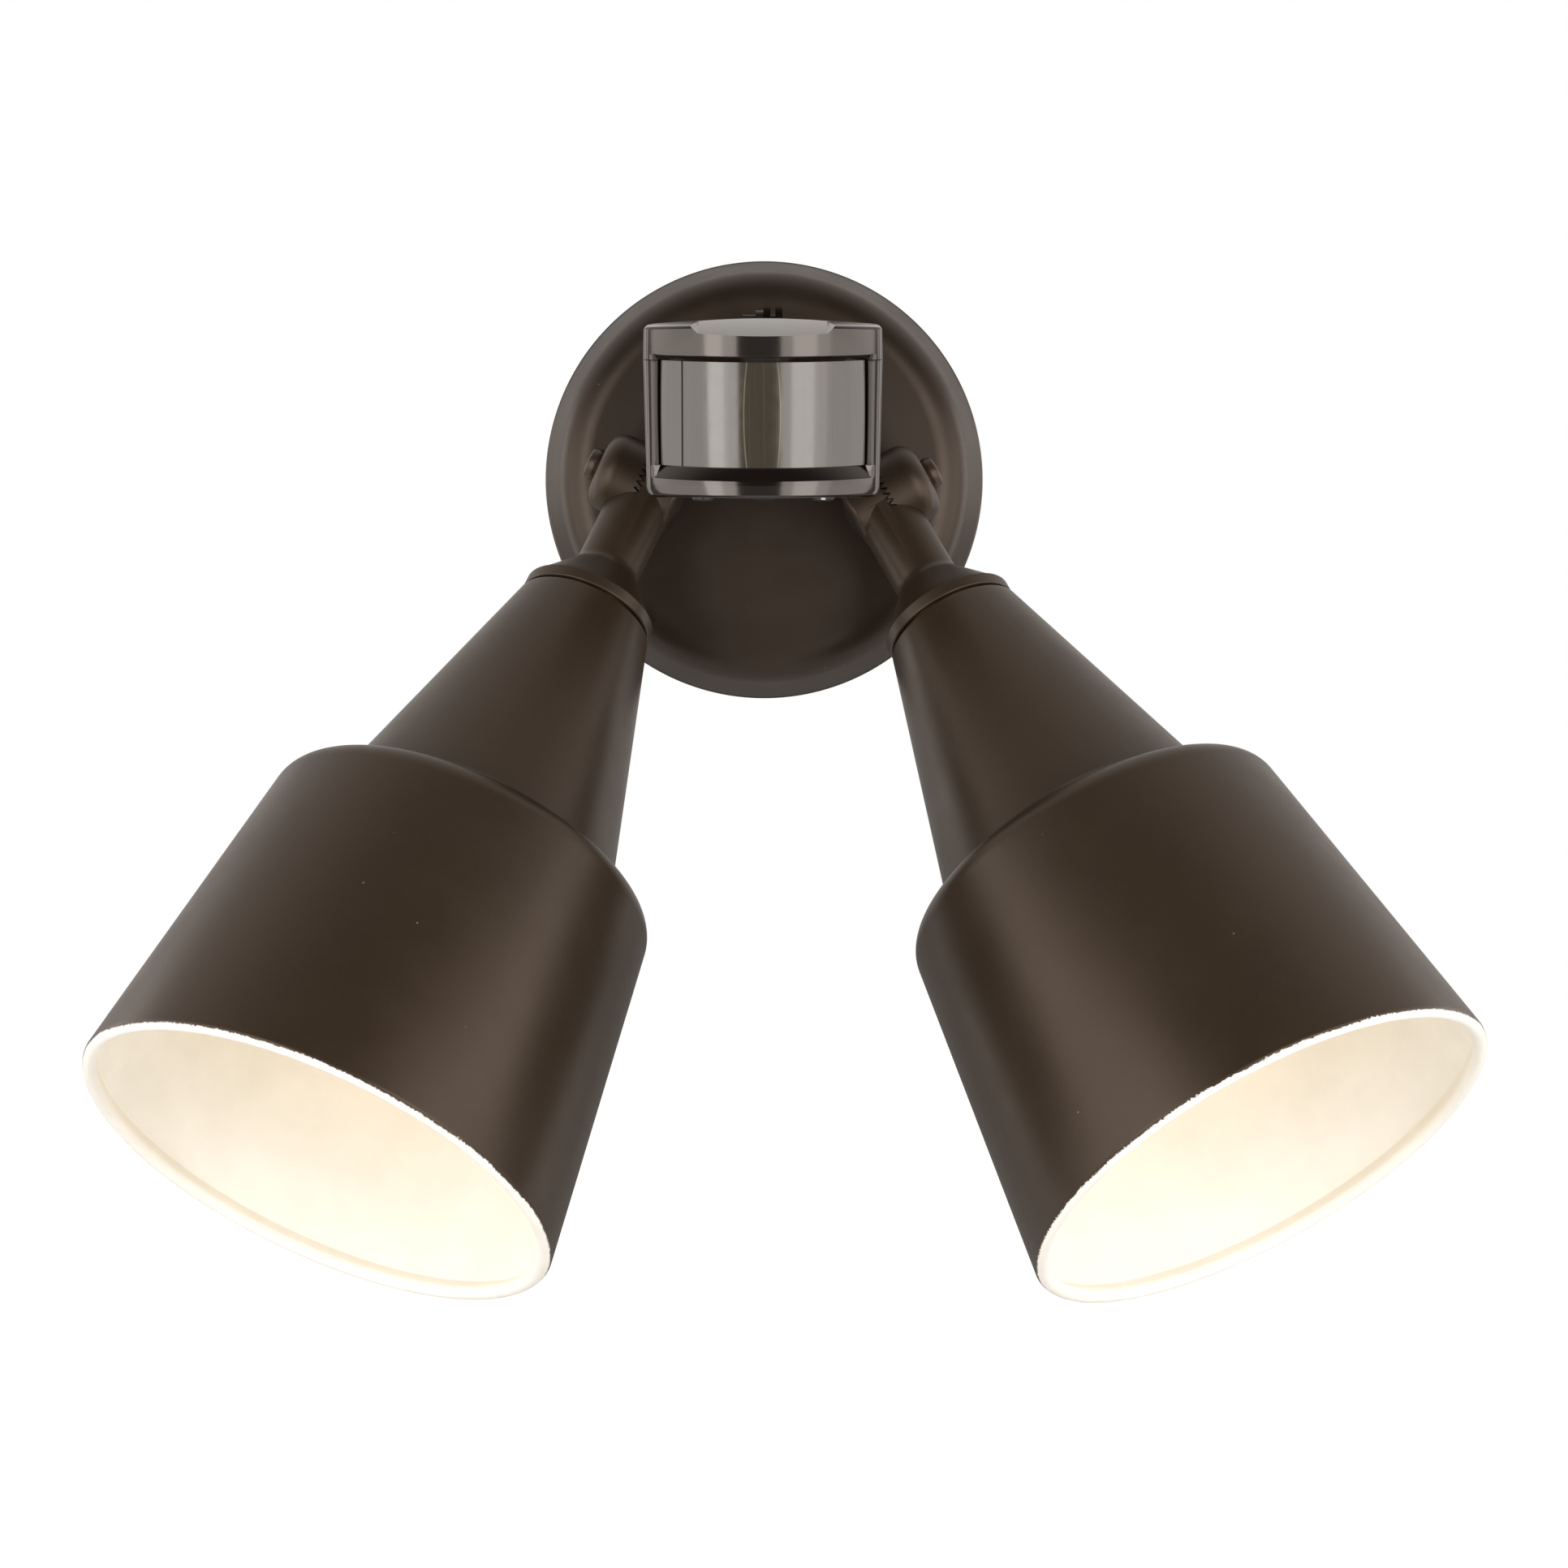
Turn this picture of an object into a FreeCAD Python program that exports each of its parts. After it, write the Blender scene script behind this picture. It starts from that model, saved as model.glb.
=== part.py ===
import FreeCAD, Part
import math
import os
import Sketcher
from FreeCAD import Matrix, Placement, Rotation, Vector

# A wall-mounted motion sensor security light: a round canopy, two shaded lampholders on
# serrated swivel knuckles, and a passive infrared sensor head on a ball joint.
# Millimetres. The wall is the plane y = 0, the light stands out towards -Y, +Z is up and
# the origin is the centre of the canopy's back face.

# ---------------------------------------------------------------- driving dimensions

CANOPY = {
    "canopy_radius": 63.5,
    "canopy_rim_height": 1.6,
    "canopy_foot_radius": 61.7,
    "canopy_shoulder_radius": 55.6,
    "canopy_depth": 18.0,
    "canopy_edge_round": 5.0,
    "canopy_wall": 1.5,
    "canopy_gasket_radius": 59.4,
    "canopy_gasket_width": 3.4,
    "canopy_gasket_height": 1.2,
    "stem_hole_radius": 11.1,
    "centre_screw_radius": 2.4,
    "centre_head_radius": 5.2,
    "centre_head_height": 3.0,
    "centre_washer_radius": 7.5,
    "centre_washer_height": 1.0,
    "crossbar_length": 106.0,
    "crossbar_width": 15.8,
    "crossbar_thickness": 2.0,
    "crossbar_slot_spacing": 88.9,
    "crossbar_slot_length": 10.0,
    "crossbar_slot_width": 4.8,
    "ground_screw_offset": 20.0,
    "ground_screw_radius": 2.0,
    "ground_head_radius": 4.2,
    "ground_head_height": 2.4,
}

KNUCKLE = {
    "lamp_spacing": 71.8,
    "lamp_line_height": -5.0,
    "lamp_line_fall": 2.7,
    "pivot_depth": 34.0,
    "stem_radius": 10.6,
    "stem_bore_radius": 6.5,
    "stem_length": 11.0,
    "stem_gasket_height": 1.2,
    "stem_gasket_radius": 13.4,
    "locknut_radius": 14.0,
    "locknut_height": 4.0,
    "flange_radius": 12.6,
    "flange_height": 3.0,
    "neck_half_width": 7.6,
    "hub_radius": 11.6,
    "hub_outer_face": 11.6,
    "hub_outer_round": 4.6,
    "lap_offset": 1.2,
    "lap_gap": 0.4,
    "arm_offset": 3.4,
    "bolt_radius": 2.4,
    "bolt_head_radius": 4.3,
    "bolt_head_height": 3.6,
    "bolt_end_cover": 1.0,
    "bolt_fit": 0.06,
}

ARM = {
    "arm_radius": 9.05,
    "tongue_radius": 10.4,
    "shoulder_gap": 0.4,
    "arm_length": 46.0,
    "flare_height": 10.6,
    "flare_radius": 17.7,
    "cap_step": 0.8,
    "cap_radius": 19.0,
    "cap_band": 3.4,
    "nipple_radius": 5.0,
    "nipple_bore_radius": 3.6,
    "nipple_into_arm": 13.0,
    "nipple_end_gap": 1.0,
    "nipple_fit": 0.1,
    "left_splay": 24.5,
    "left_pitch": 27.7,
    "right_splay": 28.8,
    "right_pitch": 26.3,
}

SHADE = {
    "shade_wall": 1.2,
    "shade_washer_height": 0.8,
    "shade_washer_radius": 17.6,
    "neck_top_radius": 18.9,
    "neck_end_radius": 40.2,
    "neck_length": 79.5,
    "shoulder_drop": 6.0,
    "shoulder_radius": 54.2,
    "shoulder_round": 8.0,
    "neck_fillet": 4.0,
    "shade_length": 181.5,
    "mouth_radius": 66.8,
    "lip_width": 4.0,
    "lip_height": 3.0,
}

LAMP = {
    "socket_radius": 17.2,
    "socket_length": 50.0,
    "socket_cavity_radius": 14.2,
    "socket_top_taper": 2.0,
    "socket_top_height": 24.0,
    "socket_mouth_round": 1.0,
    "shell_radius": 14.0,
    "shell_wall": 0.45,
    "shell_length": 24.0,
    "shell_hole_radius": 6.5,
    "contact_radius": 4.5,
    "contact_height": 3.0,
    "base_radius": 13.1,
    "base_length": 23.0,
    "base_shoulder": 2.0,
    "base_shoulder_low": 3.0,
    "base_shoulder_high": 5.0,
    "lamp_neck_step": 1.0,
    "lamp_neck_height": 4.0,
    "lamp_housing_radius": 22.5,
    "lamp_housing_length": 34.0,
    "lamp_length": 108.0,
    "globe_radius": 30.0,
    "globe_wall": 1.2,
}

SENSOR = {
    "ball_depth": 36.0,
    "ball_height": 32.0,
    "ball_radius": 5.5,
    "ball_neck_radius": 2.6,
    "ball_cone_radius": 9.0,
    "ball_cone_height": 4.0,
    "bushing_wall": 1.25,
    "bushing_half_width": 3.6,
    "bushing_slit": 1.2,
    "ball_fit": 0.05,
    "clamp_radius": 9.0,
    "clamp_lip": 3.8,
    "clamp_ear_width": 5.3,
    "clamp_ear_depth": 7.0,
    "clamp_ear_top": 14.1,
    "clamp_slit": 1.4,
    "clamp_screw_height": 10.7,
    "clamp_screw_radius": 1.4,
    "clamp_screw_reach": 5.9,
    "clamp_nut_radius": 2.6,
    "clamp_nut_height": 2.2,
    "clamp_ear_base": 4.5,
    "sensor_tilt": 9.0,
    "head_half_width": 32.3,
    "head_back": 12.0,
    "head_back_half_width": 15.0,
    "head_side_back": 33.0,
    "head_side_front": 43.5,
    "head_front": 58.0,
    "head_top": 12.6,
    "head_crown": 1.7,
    "head_split": 2.2,
    "head_bottom": 34.1,
    "head_wall": 2.0,
    "head_edge_round": 1.2,
    "window_half_width": 29.2,
    "window_bottom": 26.4,
    "brow_height": 1.6,
    "brow_inset": 1.5,
    "sill_height": 3.3,
    "sill_inset": 1.9,
    "scoop_half_width": 20.4,
    "scoop_depth": 3.6,
    "scoop_length": 34.0,
    "lens_recess": 2.1,
    "lens_wall": 1.0,
    "lens_overlap": 2.0,
    "lens_side_gap": 1.6,
    "panel_thickness": 1.0,
    "panel_inset": 5.0,
    "knob_spacing": 33.0,
    "knob_radius": 3.2,
    "knob_height": 1.6,
    "knob_shaft_radius": 1.5,
    "knob_fit": 0.1,
    "knob_end_gap": 0.3,
    "trimmer_size": 7.0,
    "trimmer_height": 5.0,
    "board_depth": 30.0,
    "board_thickness": 1.6,
    "board_side_gap": 0.3,
    "board_height": 34.0,
    "pir_can_radius": 4.6,
    "pir_can_height": 4.2,
    "pir_can_round": 0.6,
    "photocell_offset": 13.8,
    "relay_width": 19.0,
    "relay_height": 15.5,
    "relay_depth": 12.0,
    "photocell_radius": 2.5,
    "photocell_height": 2.0,
    "boss_spacing": 27.0,
    "boss_depth": 17.6,
    "boss_radius": 2.8,
    "housing_screw_radius": 1.3,
    "housing_screw_head": 2.5,
    "housing_screw_head_height": 1.5,
    "housing_screw_grip": 3.4,
}

# ---------------------------------------------------------------- the sheet and its sizes

doc = FreeCAD.newDocument("motion_sensor_security_light")
sheet = doc.addObject("Spreadsheet::Sheet", "sizes")


class Dim:
    """A size in the sheet, or one worked out from such sizes, with its expression."""

    def __init__(self, value, text):
        self.value = value
        self.text = text

    def __float__(self):
        return self.value

    def __neg__(self):
        return Dim(-self.value, "(-%s)" % self.text)

    def __add__(self, other):
        other = as_dim(other)
        return Dim(self.value + other.value, "(%s + %s)" % (self.text, other.text))

    def __sub__(self, other):
        other = as_dim(other)
        return Dim(self.value - other.value, "(%s - %s)" % (self.text, other.text))

    def __mul__(self, other):
        other = as_dim(other)
        return Dim(self.value * other.value, "(%s * %s)" % (self.text, other.text))

    def __truediv__(self, other):
        other = as_dim(other)
        return Dim(self.value / other.value, "(%s / %s)" % (self.text, other.text))

    def __rsub__(self, other):
        return as_dim(other) - self

    __radd__ = __add__
    __rmul__ = __mul__


def as_dim(value):
    """A Dim as it is, or a plain number as one."""
    return value if isinstance(value, Dim) else Dim(float(value), "%.6f" % float(value))


def root_of_squares(long_side, short_side):
    """The third side of a right triangle, from its longest side and one other."""
    square = long_side * long_side - short_side * short_side
    return Dim(math.sqrt(square.value), "sqrt(%s)" % square.text)


class Sizes:
    """Every driving dimension by its name in the sheet."""


D = Sizes()
row = 1
for group in (CANOPY, KNUCKLE, ARM, SHADE, LAMP, SENSOR):
    for alias, value in group.items():
        sheet.set("A%d" % row, alias)
        sheet.set("B%d" % row, "%.4f" % value)
        sheet.setAlias("B%d" % row, alias)
        setattr(D, alias, Dim(value, "sizes." + alias))
        row += 1
doc.recompute()

# ---------------------------------------------------------------- frames

WORLD = Placement()


def frame_of(origin, x_axis, z_axis):
    """A frame with its own X and Z directions at a point of the light."""
    y_axis = z_axis.cross(x_axis)
    rows = [[x_axis[i], y_axis[i], z_axis[i], origin[i]] for i in range(3)]
    matrix = Matrix(*rows[0], *rows[1], *rows[2], 0, 0, 0, 1)
    return Placement(matrix)


def moved(frame, x=0, y=0, z=0, turn=None):
    """A frame shifted, and then turned, in its own directions."""
    shift = Vector(float(x), float(y), float(z))
    return frame.multiply(Placement(shift, turn or Rotation()))


TO_X = Rotation(Vector(0, 1, 0), 90)     # lays a turned piece's axis along +X
TO_Y = Rotation(Vector(1, 0, 0), -90)    # lays a turned piece's axis along +Y

# The wall frame: its Z stands out of the wall, its X and Y lie in the wall as X and Z.
WALL = frame_of(Vector(0, 0, 0), Vector(1, 0, 0), Vector(0, -1, 0))

SIDES = {"left": -1, "right": 1}


def stem_centre(side):
    """Where one lampholder's stem goes through the canopy, in the wall frame."""
    fall = math.radians(float(D.lamp_line_fall))
    reach = SIDES[side] * float(D.lamp_spacing) / 2
    return reach * math.cos(fall), float(D.lamp_line_height) - reach * math.sin(fall)


def lamp_angles(side):
    """The splay and pitch of one lamp at rest, in radians."""
    splay = float(getattr(D, side + "_splay"))
    pitch = float(getattr(D, side + "_pitch"))
    return math.radians(splay), math.radians(pitch)


def knuckle_frame(side):
    """At the knuckle on the stem's axis: X along the bolt to its head, Z out of the wall."""
    x, z = stem_centre(side)
    splay, _ = lamp_angles(side)
    outward = Vector(SIDES[side] * math.cos(splay), 0, math.sin(splay))
    return frame_of(Vector(x, -float(D.pivot_depth), z), outward, Vector(0, -1, 0))


def arm_frame(side):
    """At the knuckle on the arm's axis: X along the bolt, Z down the arm to the mouth."""
    splay, pitch = lamp_angles(side)
    along = Vector(SIDES[side] * math.sin(splay) * math.cos(pitch),
                   -math.sin(pitch),
                   -math.cos(splay) * math.cos(pitch))
    knuckle = moved(knuckle_frame(side), x=-D.arm_offset)
    outward = knuckle.Rotation.multVec(Vector(1, 0, 0))
    return frame_of(knuckle.Base, outward, along)


def shade_frame(side):
    """At the lower face of the arm's cap, Z to the mouth."""
    return moved(arm_frame(side), z=D.arm_length)


def head_frame():
    """At the ball of the sensor's joint, tilted as the head is: -Y is its front."""
    tilt = math.radians(float(D.sensor_tilt))
    origin = Vector(0, -float(D.ball_depth), float(D.ball_height))
    return frame_of(origin, Vector(1, 0, 0), Vector(0, -math.sin(tilt), math.cos(tilt)))


HEAD = head_frame()
BALL = Placement(HEAD.Base, Rotation())     # at the ball, square to the wall

CLEAR = 1.0                                 # how far a cutting tool runs past what it cuts

# ---------------------------------------------------------------- how pieces are made

nodes = []


def keep(piece, frame):
    """Place a finished piece and list it as a sub-part."""
    piece.Placement = frame
    nodes.append(piece)
    return piece


def new_body(label):
    body = doc.addObject("PartDesign::Body", label)
    body.Label = label
    return body


def origin_plane(body, role):
    return next(item for item in body.Origin.OriginFeatures if item.Role == role)


def new_sketch(body, role, offset=0):
    """A sketch on one of the body's origin planes, or a stated way in front of it."""
    sketch = body.newObject("Sketcher::SketchObject", body.Name + "_sketch")
    sketch.AttachmentSupport = [(origin_plane(body, role), "")]
    sketch.MapMode = "FlatFace"
    if isinstance(offset, Dim):
        sketch.setExpression("AttachmentOffset.Base.z", offset.text)
    return sketch


def pin_point(sketch, geometry, point, x, y):
    """Tie one point of a sketch to the sheet."""
    for kind, axis, size in (("DistanceX", -2, as_dim(x)), ("DistanceY", -1, as_dim(y))):
        if abs(size.value) < 1e-9:
            sketch.addConstraint(Sketcher.Constraint("PointOnObject", geometry, point, axis))
            continue
        made = Sketcher.Constraint(kind, -1, 1, geometry, point, size.value)
        number = sketch.addConstraint(made)
        sketch.setExpression("Constraints[%d]" % number, size.text)


def draw_outline(sketch, corners):
    """A closed outline of straight sides through corners, each tied to the sheet."""
    points = [Vector(float(x), float(y), 0) for x, y in corners]
    first = sketch.GeometryCount
    count = len(points)
    for i, point in enumerate(points):
        sketch.addGeometry(Part.LineSegment(point, points[(i + 1) % count]), False)
    for i in range(count):
        after = first + (i + 1) % count
        sketch.addConstraint(Sketcher.Constraint("Coincident", first + i, 2, after, 1))
    for i, (x, y) in enumerate(corners):
        pin_point(sketch, first + i, 1, x, y)


def draw_circle(sketch, x, y, radius):
    centre = Vector(float(x), float(y), 0)
    number = sketch.addGeometry(Part.Circle(centre, Vector(0, 0, 1), float(radius)), False)
    pin_point(sketch, number, 3, x, y)
    size = as_dim(radius)
    tie = sketch.addConstraint(Sketcher.Constraint("Radius", number, size.value))
    sketch.setExpression("Constraints[%d]" % tie, size.text)


def add_feature(body, kind, sketch, name):
    feature = body.newObject("PartDesign::" + kind, body.Name + "_" + name)
    feature.Profile = sketch
    return feature


def turn_outline(body, corners, cut=False, name="turned"):
    """Turn an outline of (radius, height) corners about the body's Z."""
    sketch = new_sketch(body, "XZ_Plane")
    draw_outline(sketch, corners)
    feature = add_feature(body, "Groove" if cut else "Revolution", sketch, name)
    feature.ReferenceAxis = (sketch, ["V_Axis"])
    feature.Angle = 360
    sketch.Visibility = False
    return feature


def turned(label, corners, frame):
    """A sub-part turned from one outline."""
    body = new_body(label)
    turn_outline(body, corners)
    return keep(body, frame)


def ring(label, outer, inner, low, high, frame):
    """A washer, gasket, tube or plain disc between two heights."""
    return turned(label, [(inner, low), (outer, low), (outer, high), (inner, high)], frame)


def pad_between(body, role, low, high, draw, name):
    """Pad what draw() puts in a sketch, from low to high along the plane's normal."""
    sketch = new_sketch(body, role, as_dim(low))
    draw(sketch)
    pad = add_feature(body, "Pad", sketch, name)
    pad.setExpression("Length", (as_dim(high) - low).text)
    sketch.Visibility = False
    return pad


def cut_between(body, role, low, high, draw, name):
    """Cut what draw() puts in a sketch, from low to high along the plane's normal."""
    sketch = new_sketch(body, role, as_dim(low))
    draw(sketch)
    pocket = add_feature(body, "Pocket", sketch, name)
    pocket.setExpression("Length", (as_dim(high) - low).text)
    pocket.Reversed = True
    sketch.Visibility = False
    return pocket


def box_outline(x0, x1, y0, y1):
    return lambda sketch: draw_outline(sketch, [(x0, y0), (x1, y0), (x1, y1), (x0, y1)])


def disc_outline(x, y, radius):
    return lambda sketch: draw_circle(sketch, x, y, radius)


def round_edges(body, radius, chosen, name="rounded", kind="Fillet"):
    """Round or chamfer the edges of the last feature that the test chooses."""
    doc.recompute()
    base = body.Tip
    picked = []
    for number, edge in enumerate(base.Shape.Edges, start=1):
        if chosen(edge):
            picked.append("Edge%d" % number)
    if not picked:
        raise ValueError("no edge to round on " + body.Label)
    feature = body.newObject("PartDesign::" + kind, body.Name + "_" + name)
    feature.Base = (base, picked)
    size = "Radius" if kind == "Fillet" else "Size"
    feature.setExpression(size, as_dim(radius).text)
    base.Visibility = False
    return feature


def ring_edge(radius, height, slack=0.05):
    """Chooses the full circles about Z of a radius at a height."""
    def chosen(edge):
        curve = edge.Curve
        return (curve.TypeId == "Part::GeomCircle"
                and abs(curve.Radius - float(radius)) < slack
                and abs(curve.Center.z - float(height)) < slack)
    return chosen


def primitive(kind, name, frame=None, **sizes):
    """A box, cylinder or sphere of sizes bound to the sheet."""
    solid = doc.addObject("Part::" + kind, name)
    for prop, size in sizes.items():
        solid.setExpression(prop, as_dim(size).text)
    solid.Placement = frame or Placement()
    return solid


def boxed(name, x0, x1, y0, y1, z0, z1, frame=WORLD):
    """A box between two corners of a frame."""
    return primitive("Box", name, moved(frame, x0, y0, z0), Length=as_dim(x1) - x0,
                     Width=as_dim(y1) - y0, Height=as_dim(z1) - z0)


def fuse(name, *solids):
    whole = doc.addObject("Part::MultiFuse", name)
    whole.Shapes = list(solids)
    return whole


def cut(name, base, *tools):
    tool = tools[0] if len(tools) == 1 else fuse(name + "_tools", *tools)
    result = doc.addObject("Part::Cut", name)
    result.Base = base
    result.Tool = tool
    return result


def group(name, *solids):
    """Identical pieces that share a node as separate solids."""
    together = doc.addObject("Part::Compound", name)
    together.Links = list(solids)
    return together


# ---------------------------------------------------------------- canopy and wall fixing

canopy_inside = D.canopy_depth - D.canopy_wall


def make_canopy():
    """The round wall canopy: a flanged pan with a flat face and three stem holes."""
    wall = D.canopy_wall
    body = new_body("canopy")
    turn_outline(body, [
        (0, D.canopy_depth),
        (0, canopy_inside),
        (D.canopy_shoulder_radius - wall, canopy_inside),
        (D.canopy_foot_radius - wall, 0),
        (D.canopy_radius, 0),
        (D.canopy_radius, D.canopy_rim_height),
        (D.canopy_foot_radius, D.canopy_rim_height),
        (D.canopy_shoulder_radius, D.canopy_depth),
    ])
    for side in SIDES:
        x, y = stem_centre(side)
        cut_between(body, "XY_Plane", 0, D.canopy_depth + D.canopy_wall,
                    disc_outline(x, y, D.stem_hole_radius), side + "_hole")
    cut_between(body, "XY_Plane", 0, D.canopy_depth + D.canopy_wall,
                disc_outline(0, D.ball_height, D.stem_hole_radius), "sensor_hole")
    cut_between(body, "XY_Plane", 0, D.canopy_depth + D.canopy_wall,
                disc_outline(0, 0, D.centre_screw_radius + D.bolt_fit), "screw_hole")
    round_edges(body, D.canopy_edge_round,
                ring_edge(D.canopy_shoulder_radius, D.canopy_depth))
    round_edges(body, D.canopy_edge_round - wall,
                ring_edge(D.canopy_shoulder_radius - wall, canopy_inside), "inside_round")
    keep(body, WALL)


def make_wall_fixing():
    """The gasket, the crossbar that the box carries, and the screw that holds the canopy."""
    ring("canopy_gasket", D.canopy_gasket_radius,
         D.canopy_gasket_radius - D.canopy_gasket_width, 0, D.canopy_gasket_height, WALL)

    bar = new_body("mounting_crossbar")
    half = D.crossbar_length / 2
    half_width = D.crossbar_width / 2
    top = D.crossbar_thickness
    pad_between(bar, "XY_Plane", 0, top, box_outline(-half, half, -half_width, half_width), "bar")
    slot_half = D.crossbar_slot_width / 2
    for sign in (-1, 1):
        centre = D.crossbar_slot_spacing * sign / 2
        straight = (D.crossbar_slot_length - D.crossbar_slot_width) / 2
        cut_between(bar, "XY_Plane", 0, top + top,
                    box_outline(centre - straight, centre + straight, -slot_half, slot_half),
                    "slot")
        for end in (-1, 1):
            cut_between(bar, "XY_Plane", 0, top + top,
                        disc_outline(centre + straight * end, 0, slot_half), "slot_end")
    cut_between(bar, "XY_Plane", 0, top + top,
                disc_outline(0, 0, D.centre_screw_radius + D.bolt_fit), "screw_hole")
    cut_between(bar, "XY_Plane", 0, top + top,
                disc_outline(D.ground_screw_offset, 0, D.ground_screw_radius + D.bolt_fit),
                "ground_hole")
    keep(bar, WALL)

    seat = D.canopy_depth + D.centre_washer_height
    ring("mounting_washer", D.centre_washer_radius, D.centre_screw_radius + D.bolt_fit,
         D.canopy_depth, seat, WALL)
    screw = turned("mounting_screw", [
        (0, 0), (D.centre_screw_radius, 0), (D.centre_screw_radius, seat),
        (D.centre_head_radius, seat), (D.centre_head_radius, seat + D.centre_head_height),
        (0, seat + D.centre_head_height)], WALL)
    round_edges(screw, D.centre_head_height / 2,
                ring_edge(D.centre_head_radius, seat + D.centre_head_height))

    at = moved(WALL, x=D.ground_screw_offset)
    turned("ground_screw", [
        (0, 0), (D.ground_screw_radius, 0), (D.ground_screw_radius, top),
        (D.ground_head_radius, top), (D.ground_head_radius, top + D.ground_head_height),
        (0, top + D.ground_head_height)], at)


# ---------------------------------------------------------------- stems through the canopy

stem_back = D.canopy_depth - D.canopy_wall
stem_front = D.canopy_depth + D.stem_gasket_height
stem_tail = stem_front - D.stem_length - D.stem_gasket_height


def make_stem_hardware(name, frame):
    """The sealing gasket outside the canopy and the locknut inside, on one stem."""
    bore = D.stem_radius + D.bolt_fit
    ring(name + "_stem_gasket", D.stem_gasket_radius, bore, D.canopy_depth, stem_front, frame)
    nut = new_body(name + "_stem_locknut")
    low = stem_back - D.locknut_height
    corner = D.locknut_radius
    flat = root_of_squares(corner, corner / 2)
    hexagon = [(corner, 0), (corner / 2, flat), (-corner / 2, flat),
               (-corner, 0), (-corner / 2, -flat), (corner / 2, -flat)]
    pad_between(nut, "XY_Plane", low, stem_back,
                lambda sketch: draw_outline(sketch, hexagon), "nut")
    cut_between(nut, "XY_Plane", low - CLEAR, stem_back + CLEAR,
                disc_outline(0, 0, bore), "thread")
    keep(nut, frame)


# ---------------------------------------------------------------- knuckle and arm

lap_plane = -D.lap_offset


def make_knuckle_base(side):
    """The fixed half of a knuckle: threaded stem, flange and serrated hub."""
    body = new_body(side + "_knuckle_base")
    face = -D.pivot_depth + stem_front       # the flange's seat, in the knuckle frame
    low = -D.pivot_depth + stem_tail
    flange_top = face + D.flange_height
    pad_between(body, "YZ_Plane", lap_plane, D.hub_outer_face,
                disc_outline(0, 0, D.hub_radius), "hub")
    outer = float(D.hub_outer_face)
    round_edges(body, D.hub_outer_round,
                lambda edge: abs(edge.BoundBox.XMin - outer) < 0.01)
    half = D.neck_half_width
    pad_between(body, "YZ_Plane", lap_plane, D.hub_outer_face - D.hub_outer_round,
                box_outline(-half, half, flange_top - D.flange_height / 2, 0), "neck")
    pad_between(body, "XY_Plane", face, flange_top, disc_outline(0, 0, D.flange_radius), "flange")
    pad_between(body, "XY_Plane", low, face, disc_outline(0, 0, D.stem_radius), "stem")
    cut_between(body, "XY_Plane", low - CLEAR, flange_top - D.flange_height / 3,
                disc_outline(0, 0, D.stem_bore_radius), "wire_bore")
    cut_between(body, "YZ_Plane", lap_plane - CLEAR, D.hub_outer_face + CLEAR,
                disc_outline(0, 0, D.bolt_radius + D.bolt_fit), "bolt_hole")
    keep(body, knuckle_frame(side))


def make_knuckle_bolt(side):
    """The round-headed bolt through the hub, with its end in the arm's tongue."""
    face = D.hub_outer_face
    end = -D.arm_offset - D.arm_radius + D.bolt_end_cover
    bolt = turned(side + "_knuckle_bolt", [
        (0, end), (D.bolt_radius, end), (D.bolt_radius, face),
        (D.bolt_head_radius, face), (D.bolt_head_radius, face + D.bolt_head_height),
        (0, face + D.bolt_head_height)], moved(knuckle_frame(side), turn=TO_X))
    round_edges(bolt, D.bolt_head_height / 2 - D.bolt_fit,
                ring_edge(D.bolt_head_radius, face + D.bolt_head_height))


def make_arm(side):
    """The arm: a lapped tongue, a round tube and a flared cap over the shade's neck."""
    lap_face = D.arm_offset - D.lap_offset - D.lap_gap
    band_low = D.arm_length - D.cap_band
    flare_end = band_low - D.cap_step
    flare_start = flare_end - D.flare_height
    nipple_bottom = D.arm_length - D.nipple_into_arm - D.nipple_end_gap
    body = new_body(side + "_arm_tube")
    turn_outline(body, [
        (0, 0),
        (D.arm_radius, 0),
        (D.arm_radius, flare_start),
        (D.flare_radius, flare_end),
        (D.cap_radius, band_low),
        (D.cap_radius, D.arm_length),
        (0, D.arm_length),
    ])
    round_edges(body, D.nipple_radius, ring_edge(D.arm_radius, flare_start))
    tongue = primitive("Cylinder", side + "_tongue", moved(WORLD, x=-D.arm_radius, turn=TO_X),
                       Radius=D.tongue_radius, Height=D.arm_radius + lap_face)
    whole = fuse(side + "_arm_blank", body, tongue)
    far = D.hub_outer_face + D.arm_radius
    lap = primitive("Cylinder", side + "_lap", moved(WORLD, x=lap_face, turn=TO_X),
                    Radius=D.hub_radius + D.shoulder_gap, Height=far)
    bolt_bore = primitive("Cylinder", side + "_bolt_bore",
                          moved(WORLD, x=-D.arm_radius - D.bolt_radius, turn=TO_X),
                          Radius=D.bolt_radius + D.bolt_fit, Height=far + D.arm_radius)
    nipple_bore = primitive("Cylinder", side + "_nipple_bore",
                            moved(WORLD, z=nipple_bottom),
                            Radius=D.nipple_radius + D.nipple_fit,
                            Height=D.arm_length - nipple_bottom + CLEAR)
    wire_bore = primitive("Cylinder", side + "_wire_bore",
                          moved(WORLD, z=D.tongue_radius),
                          Radius=D.nipple_bore_radius, Height=D.arm_length)
    keep(cut(side + "_lamp_arm", whole, lap, bolt_bore, nipple_bore, wire_bore), arm_frame(side))


# ---------------------------------------------------------------- shade

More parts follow.
